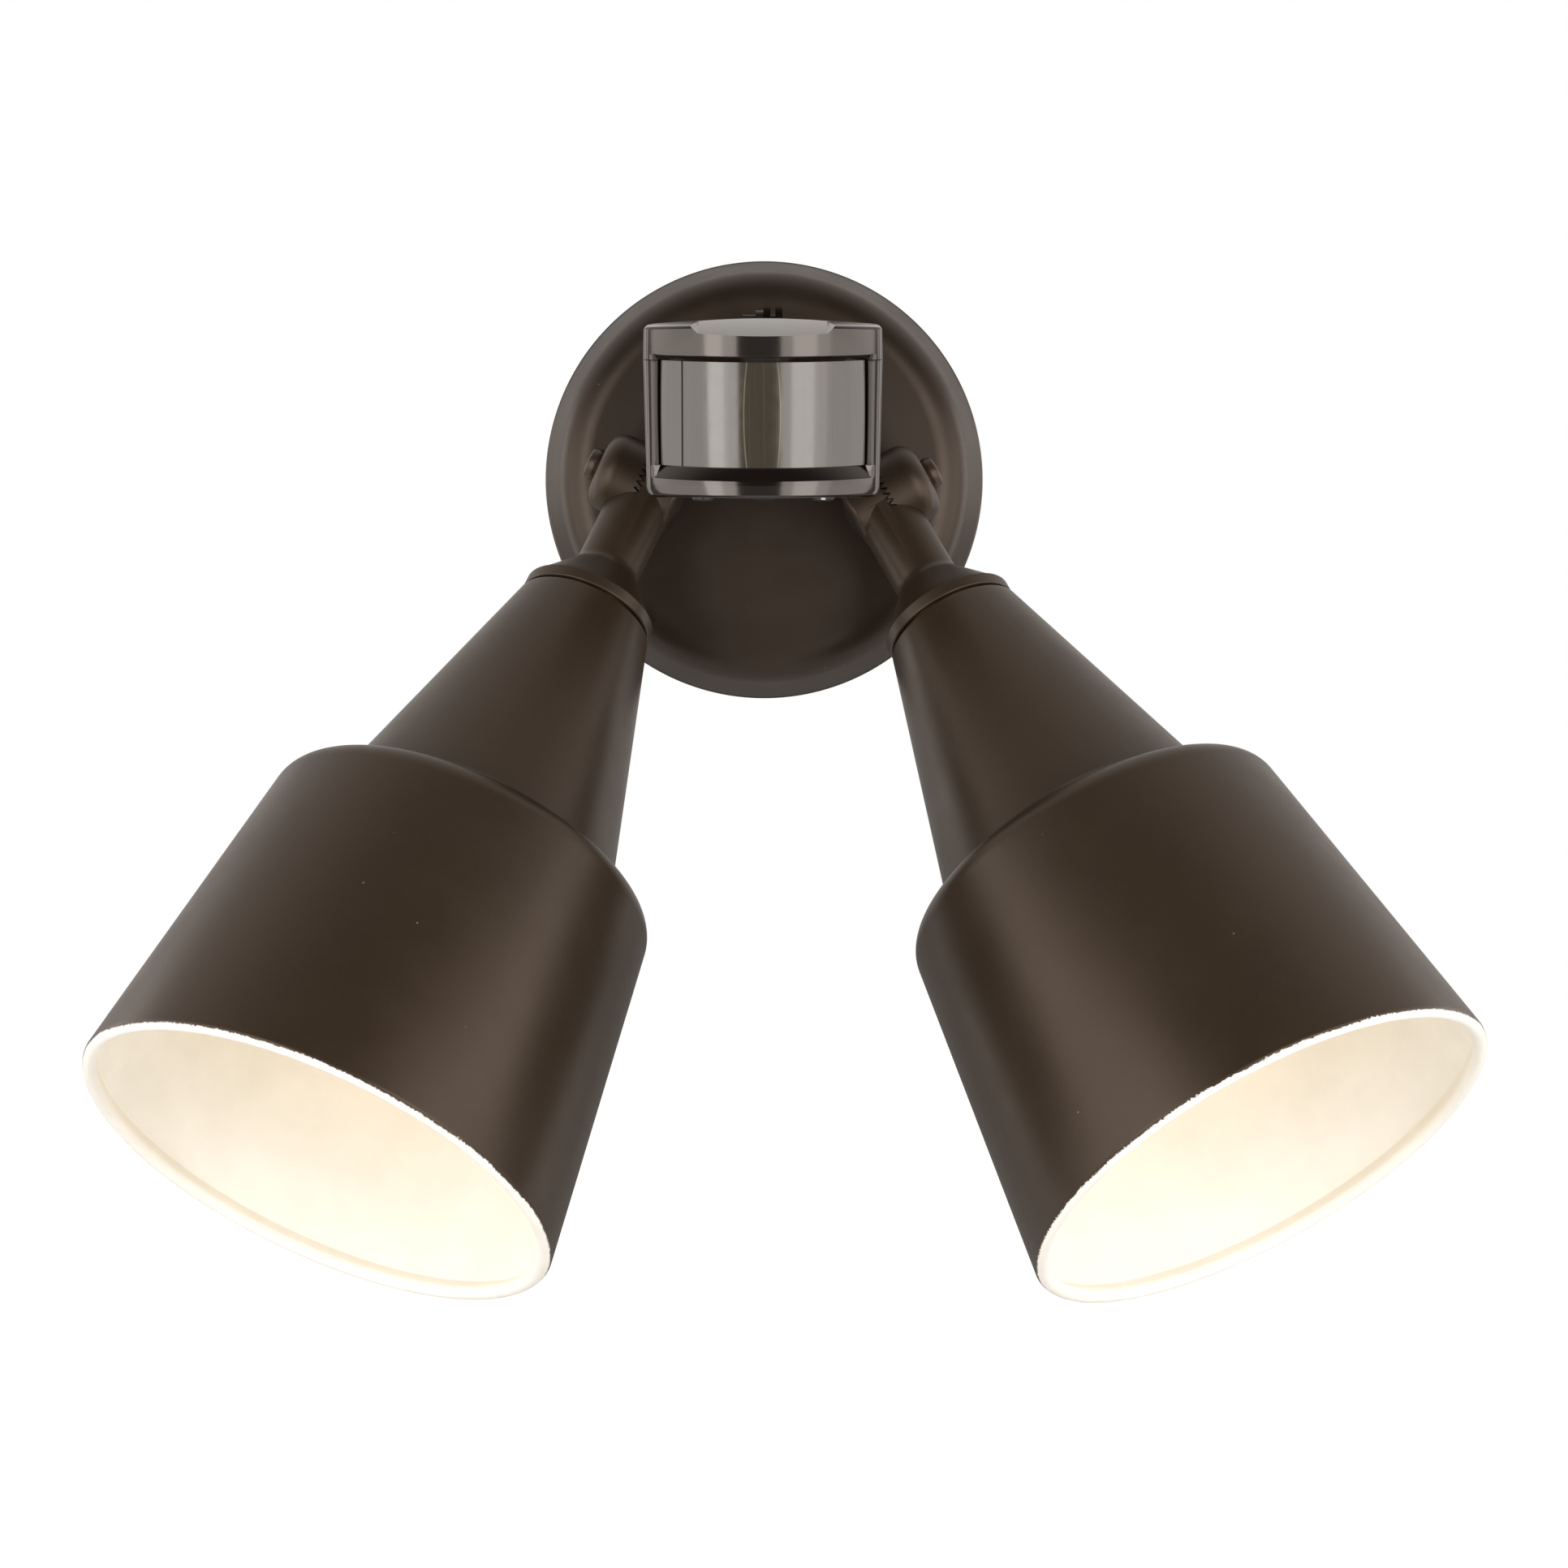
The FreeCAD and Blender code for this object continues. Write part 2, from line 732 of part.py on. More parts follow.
def make_shade(side):
    """The spun shade: a conical neck, a rounded shoulder and a flaring bowl with a lip."""
    wall = D.shade_wall
    top = D.shade_washer_height
    bowl = D.neck_length + D.shoulder_drop
    lip_low = D.shade_length - D.lip_height
    body = new_body(side + "_shade")
    turn_outline(body, [
        (D.nipple_radius + D.nipple_fit, top),
        (D.neck_top_radius, top),
        (D.neck_end_radius, D.neck_length),
        (D.shoulder_radius, bowl),
        (D.mouth_radius, D.shade_length),
        (D.mouth_radius - D.lip_width, D.shade_length),
        (D.mouth_radius - D.lip_width, lip_low),
        (D.mouth_radius - wall - wall / 2, lip_low - wall / 2),
        (D.shoulder_radius - wall, bowl + wall),
        (D.neck_end_radius - wall, D.neck_length + wall),
        (D.neck_top_radius - wall, top + wall),
        (D.nipple_radius + D.nipple_fit, top + wall),
    ])
    round_edges(body, D.shoulder_round, ring_edge(D.shoulder_radius, bowl), "shoulder")
    round_edges(body, D.shoulder_round - wall,
                ring_edge(D.shoulder_radius - wall, bowl + wall), "inner_shoulder")
    round_edges(body, D.neck_fillet, ring_edge(D.neck_end_radius, D.neck_length), "neck")
    round_edges(body, D.neck_fillet + wall,
                ring_edge(D.neck_end_radius - wall, D.neck_length + wall), "inner_neck")
    round_edges(body, wall, ring_edge(D.mouth_radius, D.shade_length), "lip")
    keep(body, shade_frame(side))
    ring(side + "_shade_washer", D.shade_washer_radius, D.nipple_radius + D.nipple_fit,
         0, D.shade_washer_height, shade_frame(side))


# ---------------------------------------------------------------- lampholder and lamp

socket_low = D.shade_washer_height + D.shade_wall
socket_mouth = socket_low + D.socket_length
lamp_tip = socket_low + D.socket_top_height + D.contact_height + D.shell_wall
lamp_collar = lamp_tip + D.base_length


def make_lampholder(side):
    """The nipple, the moulded holder, its screw shell and its centre contact."""
    frame = shade_frame(side)
    ring(side + "_socket_nipple", D.nipple_radius, D.nipple_bore_radius,
         -D.nipple_into_arm, socket_low + D.socket_top_height / 2, frame)
    body = turned(side + "_lamp_socket", [
        (D.nipple_radius + D.nipple_fit, socket_low),
        (D.socket_radius - D.socket_top_taper, socket_low),
        (D.socket_radius, socket_low + D.socket_top_height),
        (D.socket_radius, socket_mouth),
        (D.socket_cavity_radius, socket_mouth),
        (D.socket_cavity_radius, socket_low + D.socket_top_height),
        (0, socket_low + D.socket_top_height),
        (0, socket_low + D.socket_top_height / 2),
        (D.nipple_radius + D.nipple_fit, socket_low + D.socket_top_height / 2),
    ], frame)
    round_edges(body, D.socket_mouth_round, ring_edge(D.socket_radius, socket_mouth))
    low = socket_low + D.socket_top_height
    turned(side + "_socket_shell", [
        (D.shell_radius, low + D.contact_height),
        (D.shell_radius, low + D.shell_length),
        (D.shell_radius - D.shell_wall, low + D.shell_length),
        (D.shell_radius - D.shell_wall, low + D.shell_wall),
        (D.shell_hole_radius, low + D.shell_wall),
        (D.shell_hole_radius, low),
        (D.shell_radius - D.shell_wall, low),
        (D.shell_radius, low + D.shell_wall),
    ], frame)
    ring(side + "_socket_contact", D.contact_radius, 0, low, low + D.contact_height, frame)


def make_lamp(side):
    """A lamp with a screw base, a plastic housing and a round diffuser."""
    frame = shade_frame(side)
    neck = D.base_radius + D.shell_wall
    globe_end = lamp_tip + D.lamp_length
    globe_centre = globe_end - D.globe_radius
    rim = D.lamp_housing_radius
    rim_height = lamp_collar + D.lamp_housing_length
    turned(side + "_lamp_base", [
        (0, lamp_tip), (D.contact_radius, lamp_tip),
        (D.base_radius - D.base_shoulder, lamp_tip + D.base_shoulder_low),
        (D.base_radius, lamp_tip + D.base_shoulder_high),
        (D.base_radius, lamp_collar),
        (0, lamp_collar),
    ], frame)
    turned(side + "_lamp_housing", [
        (0, lamp_collar), (neck, lamp_collar),
        (neck + D.lamp_neck_step, lamp_collar + D.lamp_neck_height),
        (rim, rim_height),
        (0, rim_height),
    ], frame)

    ball = primitive("Sphere", side + "_globe_ball", moved(WORLD, z=globe_centre),
                     Radius=D.globe_radius)
    inner = primitive("Sphere", side + "_globe_inside", moved(WORLD, z=globe_centre),
                      Radius=D.globe_radius - D.globe_wall)
    below = primitive("Cylinder", side + "_globe_cut",
                      moved(WORLD, z=rim_height - D.globe_radius * 2),
                      Radius=D.globe_radius * 2, Height=D.globe_radius * 2)
    keep(cut(side + "_lamp_globe", ball, inner, below), frame)


# ---------------------------------------------------------------- the sensor's ball joint

clamp_cavity = D.ball_radius + D.bushing_wall + D.ball_fit * 2
sensor_wall_frame = moved(WALL, y=D.ball_height)


def make_sensor_stem():
    """The threaded stem, its flange and the ball that the head turns on."""
    ball_face = root_of_squares(D.ball_radius, D.ball_neck_radius)
    flange_top = stem_front + D.flange_height
    cone_top = flange_top + D.ball_cone_height
    body = new_body("sensor_stem_turning")
    turn_outline(body, [
        (0, stem_tail),
        (D.stem_radius, stem_tail),
        (D.stem_radius, stem_front),
        (D.flange_radius, stem_front),
        (D.flange_radius, flange_top),
        (D.ball_cone_radius, flange_top),
        (D.ball_neck_radius, cone_top),
        (D.ball_neck_radius, D.ball_depth - ball_face),
        (0, D.ball_depth - ball_face),
    ])
    ball = primitive("Sphere", "stem_ball", moved(WORLD, z=D.ball_depth), Radius=D.ball_radius)
    keep(fuse("sensor_ball_stem", body, ball), sensor_wall_frame)
    make_stem_hardware("sensor", sensor_wall_frame)


def make_bushing():
    """The split plastic bushing round the ball."""
    half = D.bushing_half_width
    inner = D.ball_radius + D.ball_fit
    outer = inner + D.bushing_wall
    shell = primitive("Sphere", "bushing_outside", Radius=outer)
    hollow = primitive("Sphere", "bushing_inside", Radius=inner)
    back = boxed("bushing_back", -outer, outer, half, outer * 2, -outer, outer)
    front = boxed("bushing_front", -outer, outer, -outer * 2, -half, -outer, outer)
    slit = boxed("bushing_slit_cut", -D.bushing_slit / 2, D.bushing_slit / 2,
                 -outer, outer, 0, outer)
    keep(cut("ball_bushing", shell, hollow, back, front, slit), BALL)


ear_right = D.clamp_ear_width
ear_middle = D.clamp_ear_width / 2


def make_clamp():
    """The cup behind the head that closes on the bushing, with two ears for its screw."""
    lip = D.clamp_lip
    cup = primitive("Cylinder", "clamp_cup", moved(WORLD, y=-D.head_back, turn=TO_Y),
                    Radius=D.clamp_radius, Height=D.head_back + lip)
    half = D.clamp_ear_depth / 2
    ears = boxed("clamp_ears", 0, ear_right, -half, half - (half - lip) / 2,
                 D.clamp_ear_base, D.clamp_ear_top)
    cavity = primitive("Sphere", "clamp_cavity", Radius=clamp_cavity)
    slit = boxed("clamp_slit_cut", ear_middle - D.clamp_slit / 2,
                 ear_middle + D.clamp_slit / 2, -clamp_cavity, D.clamp_radius, 0,
                 D.clamp_ear_top + CLEAR)
    bore = primitive("Cylinder", "clamp_screw_bore",
                     moved(WORLD, x=-D.clamp_radius, z=D.clamp_screw_height, turn=TO_X),
                     Radius=D.clamp_screw_radius + D.bolt_fit, Height=D.clamp_radius * 2)
    head_seat = primitive("Cylinder", "clamp_head_seat",
                          moved(WORLD, x=ear_right - D.clamp_slit, z=D.clamp_screw_height,
                                turn=TO_X),
                          Radius=D.clamp_nut_radius + D.bolt_fit, Height=D.clamp_radius)
    nut_seat = primitive("Cylinder", "clamp_nut_seat",
                         moved(WORLD, x=-D.clamp_radius, z=D.clamp_screw_height, turn=TO_X),
                         Radius=D.clamp_nut_radius + D.bolt_fit, Height=D.clamp_radius)
    keep(cut("sensor_clamp", fuse("clamp_blank", cup, ears), cavity, slit, bore, head_seat,
             nut_seat), HEAD)

    across = moved(HEAD, z=D.clamp_screw_height, turn=TO_X)
    seat = ear_right - D.clamp_slit
    turned("clamp_screw", [
        (0, -D.clamp_screw_reach), (D.clamp_screw_radius, -D.clamp_screw_reach),
        (D.clamp_screw_radius, seat), (D.clamp_nut_radius, seat),
        (D.clamp_nut_radius, ear_right), (0, ear_right)], across)
    ring("clamp_nut", D.clamp_nut_radius, D.clamp_screw_radius + D.bolt_fit,
         -D.clamp_nut_height, 0, across)


# ---------------------------------------------------------------- the sensor head

# How far the cheeks' corners move for each millimetre that the head's outline shrinks.
CHEEK_BACK_INSET = 0.6
CHEEK_SIDE_INSET = 0.4


def head_outline(sketch, inset=0):
    """The head's plan: a flat back, slanted cheeks, short sides and a bowed front."""
    inset = as_dim(inset)
    half = D.head_half_width - inset
    back_half = D.head_back_half_width - inset * CHEEK_BACK_INSET
    back = -(D.head_back + inset)
    side_back = -(D.head_side_back + inset * CHEEK_SIDE_INSET)
    side_front = -D.head_side_front
    front = -(D.head_front - inset)
    sag = side_front - front
    radius = (half * half + sag * sag) / (sag * 2)
    corners = [(half, side_front), (half, side_back), (back_half, back),
               (-back_half, back), (-half, side_back), (-half, side_front)]
    points = [Vector(float(x), float(y), 0) for x, y in corners]
    first = sketch.GeometryCount
    for i in range(5):
        sketch.addGeometry(Part.LineSegment(points[i], points[i + 1]), False)
    bow = Part.Arc(points[5], Vector(0, float(front), 0), points[0])
    arc = sketch.addGeometry(bow, False)
    for i in range(4):
        sketch.addConstraint(Sketcher.Constraint("Coincident", first + i, 2, first + i + 1, 1))
    starts_left = (sketch.Geometry[arc].StartPoint - points[5]).Length < 1e-6
    left_end, right_end = (1, 2) if starts_left else (2, 1)
    sketch.addConstraint(Sketcher.Constraint("Coincident", first + 4, 2, arc, left_end))
    sketch.addConstraint(Sketcher.Constraint("Coincident", arc, right_end, first, 1))
    for i in range(5):
        pin_point(sketch, first + i, 1, *corners[i])
    pin_point(sketch, first + 4, 2, *corners[5])
    tie = sketch.addConstraint(Sketcher.Constraint("Radius", arc, radius.value))
    sketch.setExpression("Constraints[%d]" % tie, radius.text)


def vertical_edge(edge):
    """Chooses the straight edges along Z."""
    box = edge.BoundBox
    return box.XLength < 0.01 and box.YLength < 0.01


def head_corner(edge):
    """Chooses the upright edges at the head's corners."""
    middle = edge.CenterOfMass
    outside = abs(abs(middle.x) - float(D.head_half_width)) < 0.02
    return vertical_edge(edge) and outside


head_sag = D.head_front - D.head_side_front
head_bow = (D.head_half_width * D.head_half_width + head_sag * head_sag) / (head_sag * 2)
head_bow_centre = head_bow - D.head_front
knob_axis = -(D.board_depth + D.board_thickness + D.trimmer_size / 2)


def front_bevel(name, low, high, inset_low, inset_high):
    """What a bevel takes off the bowed front, between the posts, from low to high."""
    half = D.window_half_width
    cone = primitive("Cone", name + "_cone", moved(WORLD, y=head_bow_centre, z=low),
                     Radius1=head_bow - inset_low, Radius2=head_bow - inset_high,
                     Height=as_dim(high) - low)
    block = boxed(name + "_block", -half, half, -D.head_front - CLEAR,
                  -D.head_side_front + D.lens_recess, low, high)
    return cut(name, block, cone)


def make_sensor_body():
    """The lower housing: floor, cheeks, back wall and the posts beside the window."""
    body = new_body("sensor_body_shell")
    split = D.head_split
    floor = -D.head_bottom
    wall = D.head_wall
    pad_between(body, "XY_Plane", floor, split, head_outline, "block")
    round_edges(body, D.head_edge_round * 2, head_corner, "corners")
    half = D.window_half_width
    low = -D.window_bottom
    cut_between(body, "XZ_Plane", D.head_side_front - D.lens_recess,
                D.head_front + CLEAR, box_outline(-half, half, low, split + CLEAR), "window")
    cut_between(body, "XY_Plane", floor + wall, split + CLEAR,
                lambda sketch: head_outline(sketch, wall), "hollow")
    for sign in (-1, 1):
        x = D.knob_spacing * sign / 2
        cut_between(body, "XY_Plane", floor - CLEAR, floor + wall + CLEAR,
                    disc_outline(x, knob_axis, D.knob_shaft_radius + D.knob_fit), "knob_hole")
    for sign in (-1, 1):
        x = D.boss_spacing * sign / 2
        pad_between(body, "XY_Plane", floor, split,
                    disc_outline(x, -D.boss_depth, D.boss_radius), "boss")
        cut_between(body, "XY_Plane", floor - CLEAR, split + CLEAR,
                    disc_outline(x, -D.boss_depth, D.housing_screw_radius + D.bolt_fit),
                    "boss_hole")
    sill = front_bevel("sill", low - D.sill_height, low, 0, D.sill_inset)
    keep(cut("sensor_body", body, sill), HEAD)


def above_crown():
    """What lies over the top cover's slight crown, which falls to both sides."""
    half = D.head_half_width
    crown = D.head_crown
    radius = (half * half + crown * crown) / (crown * 2)
    reach = half + CLEAR
    depth = D.head_front + CLEAR
    barrel = primitive("Cylinder", "crown_barrel",
                       moved(WORLD, z=D.head_top - radius, turn=Rotation(Vector(1, 0, 0), 90)),
                       Radius=radius, Height=depth)
    block = boxed("crown_block", -reach, reach, -depth, 0, D.head_top - crown - CLEAR,
                  D.head_top + CLEAR)
    return cut("above_crown", block, barrel)


def make_sensor_top():
    """The top cover, crowned, with the shallow scooped panel along its front."""
    body = new_body("sensor_top_shell")
    low = D.head_split
    top = D.head_top
    wall = D.head_wall
    pad_between(body, "XY_Plane", low, top, head_outline, "block")
    round_edges(body, D.head_edge_round * 2, head_corner, "corners")
    roof = top - wall - D.scoop_depth
    cut_between(body, "XY_Plane", low - CLEAR, roof,
                lambda sketch: head_outline(sketch, wall), "hollow")
    for sign in (-1, 1):
        x = D.boss_spacing * sign / 2
        pad_between(body, "XY_Plane", low, top - wall,
                    disc_outline(x, -D.boss_depth, D.boss_radius), "boss")
        cut_between(body, "XY_Plane", low - CLEAR, roof,
                    disc_outline(x, -D.boss_depth, D.housing_screw_radius + D.bolt_fit),
                    "boss_hole")
    half = D.scoop_half_width
    front = D.head_front
    depth = D.scoop_depth

    def wedge(sketch):
        """The scoop in side view: it falls from the top towards the front."""
        draw_outline(sketch, [(-(front - D.scoop_length), top),
                              (-(front + depth), top - depth),
                              (-(front + depth), top + depth),
                              (-(front - D.scoop_length), top + depth)])

    sketch = new_sketch(body, "YZ_Plane")
    wedge(sketch)
    pocket = add_feature(body, "Pocket", sketch, "scoop")
    pocket.setExpression("Length", (half * 2).text)
    pocket.Midplane = True
    bevel = front_bevel("brow", low, low + D.brow_height, D.brow_inset, 0)
    keep(cut("sensor_top_cover", body, bevel, above_crown()), HEAD)


def arc_band(sketch, half, outer_front, thickness):
    """A bowed strip in plan, concentric with the head's front."""
    centre = head_bow_centre
    outer = head_bow - outer_front
    inner = outer - thickness
    points = []
    for radius in (outer, inner):
        rise = root_of_squares(radius, half)
        points.append((half, centre - rise))
    (x, y_outer), (_, y_inner) = points
    bows = []
    for radius, y in ((outer, y_outer), (inner, y_inner)):
        left = Vector(-float(x), float(y), 0)
        right = Vector(float(x), float(y), 0)
        middle = Vector(0, float(centre - radius), 0)
        number = sketch.addGeometry(Part.Arc(left, middle, right), False)
        starts_left = (sketch.Geometry[number].StartPoint - left).Length < 1e-6
        ends = (1, 2) if starts_left else (2, 1)
        pin_point(sketch, number, ends[0], -x, y)
        pin_point(sketch, number, ends[1], x, y)
        tie = sketch.addConstraint(Sketcher.Constraint("Radius", number, radius.value))
        sketch.setExpression("Constraints[%d]" % tie, radius.text)
        bows.append((number, ends, left, right))
    (one, ends_one, left_one, right_one), (two, ends_two, left_two, right_two) = bows
    for which, a, b in ((0, left_one, left_two), (1, right_one, right_two)):
        line = sketch.addGeometry(Part.LineSegment(a, b), False)
        sketch.addConstraint(Sketcher.Constraint("Coincident", line, 1, one, ends_one[which]))
        sketch.addConstraint(Sketcher.Constraint("Coincident", line, 2, two, ends_two[which]))


def make_lens():
    """The bowed lens behind the window."""
    body = new_body("sensor_lens")
    half = D.window_half_width - D.lens_side_gap
    pad_between(body, "XY_Plane", -(D.window_bottom + D.lens_overlap),
                D.head_split + D.lens_overlap,
                lambda sketch: arc_band(sketch, half, D.lens_recess, D.lens_wall), "lens")
    keep(body, HEAD)


def make_electronics():
    """The circuit board with its infrared detector, light cell, relay and trimmers."""
    wall = D.head_wall
    y_front = -(D.board_depth + D.board_thickness)
    low = -D.head_bottom + wall
    high = low + D.board_height
    half = D.head_half_width - wall - D.board_side_gap - D.head_wall * 2
    nodes.append(boxed("circuit_board", -half, half, y_front, -D.board_depth, low, high, HEAD))

    facing = moved(HEAD, y=y_front, z=(low + high) / 2, turn=Rotation(Vector(1, 0, 0), 90))
    can = ring("infrared_detector", D.pir_can_radius, 0, 0, D.pir_can_height, facing)
    round_edges(can, D.pir_can_round, ring_edge(D.pir_can_radius, D.pir_can_height))
    beside = moved(facing, x=D.photocell_offset)
    ring("light_cell", D.photocell_radius, 0, 0, D.photocell_height, beside)

    relay_low = high - D.relay_height - wall
    nodes.append(boxed("switching_relay", -D.relay_width / 2, D.relay_width / 2,
                       -D.board_depth, -D.board_depth + D.relay_depth,
                       relay_low, relay_low + D.relay_height, HEAD))

    trimmers = []
    size = D.trimmer_size / 2
    for sign in (-1, 1):
        x = D.knob_spacing * sign / 2
        trimmers.append(boxed("trimmer", x - size, x + size, knob_axis - size, y_front,
                              low + D.knob_end_gap, low + D.trimmer_height))
    keep(group("trimmers", *trimmers), HEAD)


def make_controls():
    """The control panel under the head, and its two knobs."""
    floor = -D.head_bottom
    low = floor - D.panel_thickness
    panel = new_body("control_panel")
    pad_between(panel, "XY_Plane", low, floor,
                lambda sketch: head_outline(sketch, D.panel_inset), "plate")
    for sign in (-1, 1):
        cut_between(panel, "XY_Plane", low - CLEAR, floor + CLEAR,
                    disc_outline(D.knob_spacing * sign / 2, knob_axis,
                                 D.knob_shaft_radius + D.knob_fit), "hole")
        cut_between(panel, "XY_Plane", low - CLEAR, floor + CLEAR,
                    disc_outline(D.boss_spacing * sign / 2, -D.boss_depth,
                                 D.housing_screw_radius + D.bolt_fit), "screw_hole")
    keep(panel, HEAD)
    screws = []
    for sign in (-1, 1):
        screw = new_body("housing_screw")
        turn_outline(screw, [
            (0, low - D.housing_screw_head_height),
            (D.housing_screw_head, low - D.housing_screw_head_height),
            (D.housing_screw_head, low), (D.housing_screw_radius, low),
            (D.housing_screw_radius, D.head_split + D.housing_screw_grip),
            (0, D.head_split + D.housing_screw_grip)])
        screw.Placement = moved(WORLD, x=D.boss_spacing * sign / 2, y=-D.boss_depth)
        screws.append(screw)
    keep(group("housing_screws", *screws), HEAD)
    top = low - D.knob_end_gap
    shaft_end = floor + D.head_wall
    for name, sign in (("on_time_knob", -1), ("range_knob", 1)):
        at = moved(HEAD, x=D.knob_spacing * sign / 2, y=knob_axis)
        knob = turned(name, [
            (0, top - D.knob_height), (D.knob_radius, top - D.knob_height),
            (D.knob_radius, top), (D.knob_shaft_radius, top),
            (D.knob_shaft_radius, shaft_end),
            (0, shaft_end),
        ], at)
        round_edges(knob, D.knob_height / 3,
                    ring_edge(D.knob_radius, top - D.knob_height))


# ---------------------------------------------------------------- build it

make_canopy()
make_wall_fixing()
for side in SIDES:
    x, y = stem_centre(side)
    make_stem_hardware(side, moved(WALL, x=x, y=y))
    make_knuckle_base(side)
    make_knuckle_bolt(side)
    make_arm(side)
    make_shade(side)
    make_lampholder(side)
    make_lamp(side)
make_sensor_stem()
make_bushing()
make_clamp()
make_sensor_body()
make_sensor_top()
make_lens()
make_electronics()
make_controls()

doc.recompute()

for item in doc.Objects:
    if {"Invalid", "Error"} & set(item.State):
        raise RuntimeError("%s failed: %s" % (item.Label, item.State))
for node in nodes:
    if node.Shape.isNull() or not node.Shape.isValid() or not node.Shape.Solids:
        raise RuntimeError(node.Label + " has no valid solid")

os.makedirs("parts", exist_ok=True)
for node in nodes:
    node.Shape.exportStep(os.path.join("parts", node.Label + ".step"))
    print("%-26s solids %d volume %.1f" % (node.Label, len(node.Shape.Solids),
                                           node.Shape.Volume))
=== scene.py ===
import math
import bmesh
import bpy
from mathutils import Matrix, Vector


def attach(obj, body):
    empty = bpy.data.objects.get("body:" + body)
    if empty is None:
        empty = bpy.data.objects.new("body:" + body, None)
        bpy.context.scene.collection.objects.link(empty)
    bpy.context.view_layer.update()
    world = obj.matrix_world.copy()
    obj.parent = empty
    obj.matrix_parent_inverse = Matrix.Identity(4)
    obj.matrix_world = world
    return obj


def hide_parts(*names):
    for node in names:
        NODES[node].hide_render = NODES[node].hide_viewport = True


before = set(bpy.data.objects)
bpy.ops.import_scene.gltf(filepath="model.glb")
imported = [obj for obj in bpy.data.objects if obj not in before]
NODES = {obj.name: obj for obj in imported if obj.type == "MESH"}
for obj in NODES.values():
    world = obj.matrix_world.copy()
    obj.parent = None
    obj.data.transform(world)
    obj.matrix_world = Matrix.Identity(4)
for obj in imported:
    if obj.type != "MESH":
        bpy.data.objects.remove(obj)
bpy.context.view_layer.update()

MM = 0.001

# ------------------------------------------------------------------ sizes, as in the part

PIVOT_DEPTH = 34.0
LAMP_SPACING = 71.8
LAMP_LINE = -5.0
LAMP_FALL = 2.7
ARM_OFFSET = 3.4
ARM_LENGTH = 46.0
LAP = -1.2
HUB_RADIUS = 11.6
ANGLES = {"left": (24.5, 27.7), "right": (28.8, 26.3)}
SIGN = {"left": -1.0, "right": 1.0}
BALL = Vector((0.0, -36.0, 32.0))
HEAD_TILT = 9.0


def frame_of(origin, x_axis, z_axis):
    """A frame as a matrix, from its origin (mm) and its X and Z directions."""
    z = Vector(z_axis).normalized()
    x = Vector(x_axis).normalized()
    y = z.cross(x)
    m = Matrix((x, y, z)).transposed().to_4x4()
    m.translation = Vector(origin)
    return m


def stem_centre(side):
    """The pivot of a lamp's knuckle."""
    fall = math.radians(LAMP_FALL)
    reach = SIGN[side] * LAMP_SPACING / 2
    return Vector((reach * math.cos(fall), -PIVOT_DEPTH, LAMP_LINE - reach * math.sin(fall)))


def bolt_axis(side):
    """The direction of a knuckle's bolt, outwards."""
    splay = math.radians(ANGLES[side][0])
    return Vector((SIGN[side] * math.cos(splay), 0.0, math.sin(splay)))


def lamp_axis(side):
    """The direction that a lamp points in, as fitted to the photo."""
    splay, pitch = (math.radians(a) for a in ANGLES[side])
    return Vector((SIGN[side] * math.sin(splay) * math.cos(pitch), -math.sin(pitch),
                   -math.cos(splay) * math.cos(pitch)))


def knuckle_frame(side):
    """The fixed half of a knuckle: X along its bolt, Z out from the wall."""
    return frame_of(stem_centre(side), bolt_axis(side), (0, -1, 0))


def arm_frame(side):
    """The moving half of a knuckle: X along its bolt, Z along the arm."""
    return frame_of(stem_centre(side) - bolt_axis(side) * ARM_OFFSET, bolt_axis(side),
                    lamp_axis(side))


def shade_frame(side):
    """A shade's frame: Z along its axis, from the arm's end."""
    return arm_frame(side) @ Matrix.Translation((0, 0, ARM_LENGTH))


TILT = math.radians(HEAD_TILT)
HEAD = frame_of(BALL, (1, 0, 0), (0, -math.sin(TILT), math.cos(TILT)))
TO_X = Matrix.Rotation(math.radians(90), 4, "Y")     # lays a turned piece's axis along +X

# ------------------------------------------------------------------ mesh tools


def smooth(obj, angle):
    """Smooth shading with sharp edges above an angle in degrees."""
    mesh = obj.data
    bm = bmesh.new()
    bm.from_mesh(mesh)
    limit = math.radians(angle)
    for face in bm.faces:
        face.smooth = True
    for edge in bm.edges:
        edge.smooth = not (len(edge.link_faces) == 2 and edge.calc_face_angle(0) > limit)
    bm.to_mesh(mesh)
    bm.free()


def new_object(name, data):
    """An object of the scene from a mesh, light or camera, at the origin."""
    obj = bpy.data.objects.new(name, data)
    bpy.context.scene.collection.objects.link(obj)
    return obj


def from_lists(name, verts, faces, matrix):
    """An object from vertices in mm in a frame; the object itself stays at the origin."""
    mesh = bpy.data.meshes.new(name)
    mesh.from_pydata([(matrix @ Vector(v)) * MM for v in verts], [], faces)
    mesh.validate()
    bm = bmesh.new()
    bm.from_mesh(mesh)
    bmesh.ops.remove_doubles(bm, verts=bm.verts, dist=1e-8)
    bmesh.ops.recalc_face_normals(bm, faces=bm.faces)
    bm.to_mesh(mesh)
    bm.free()
    return new_object(name, mesh)


SUPPORT = 0.35      # how far past a rounded corner its support point lies, mm


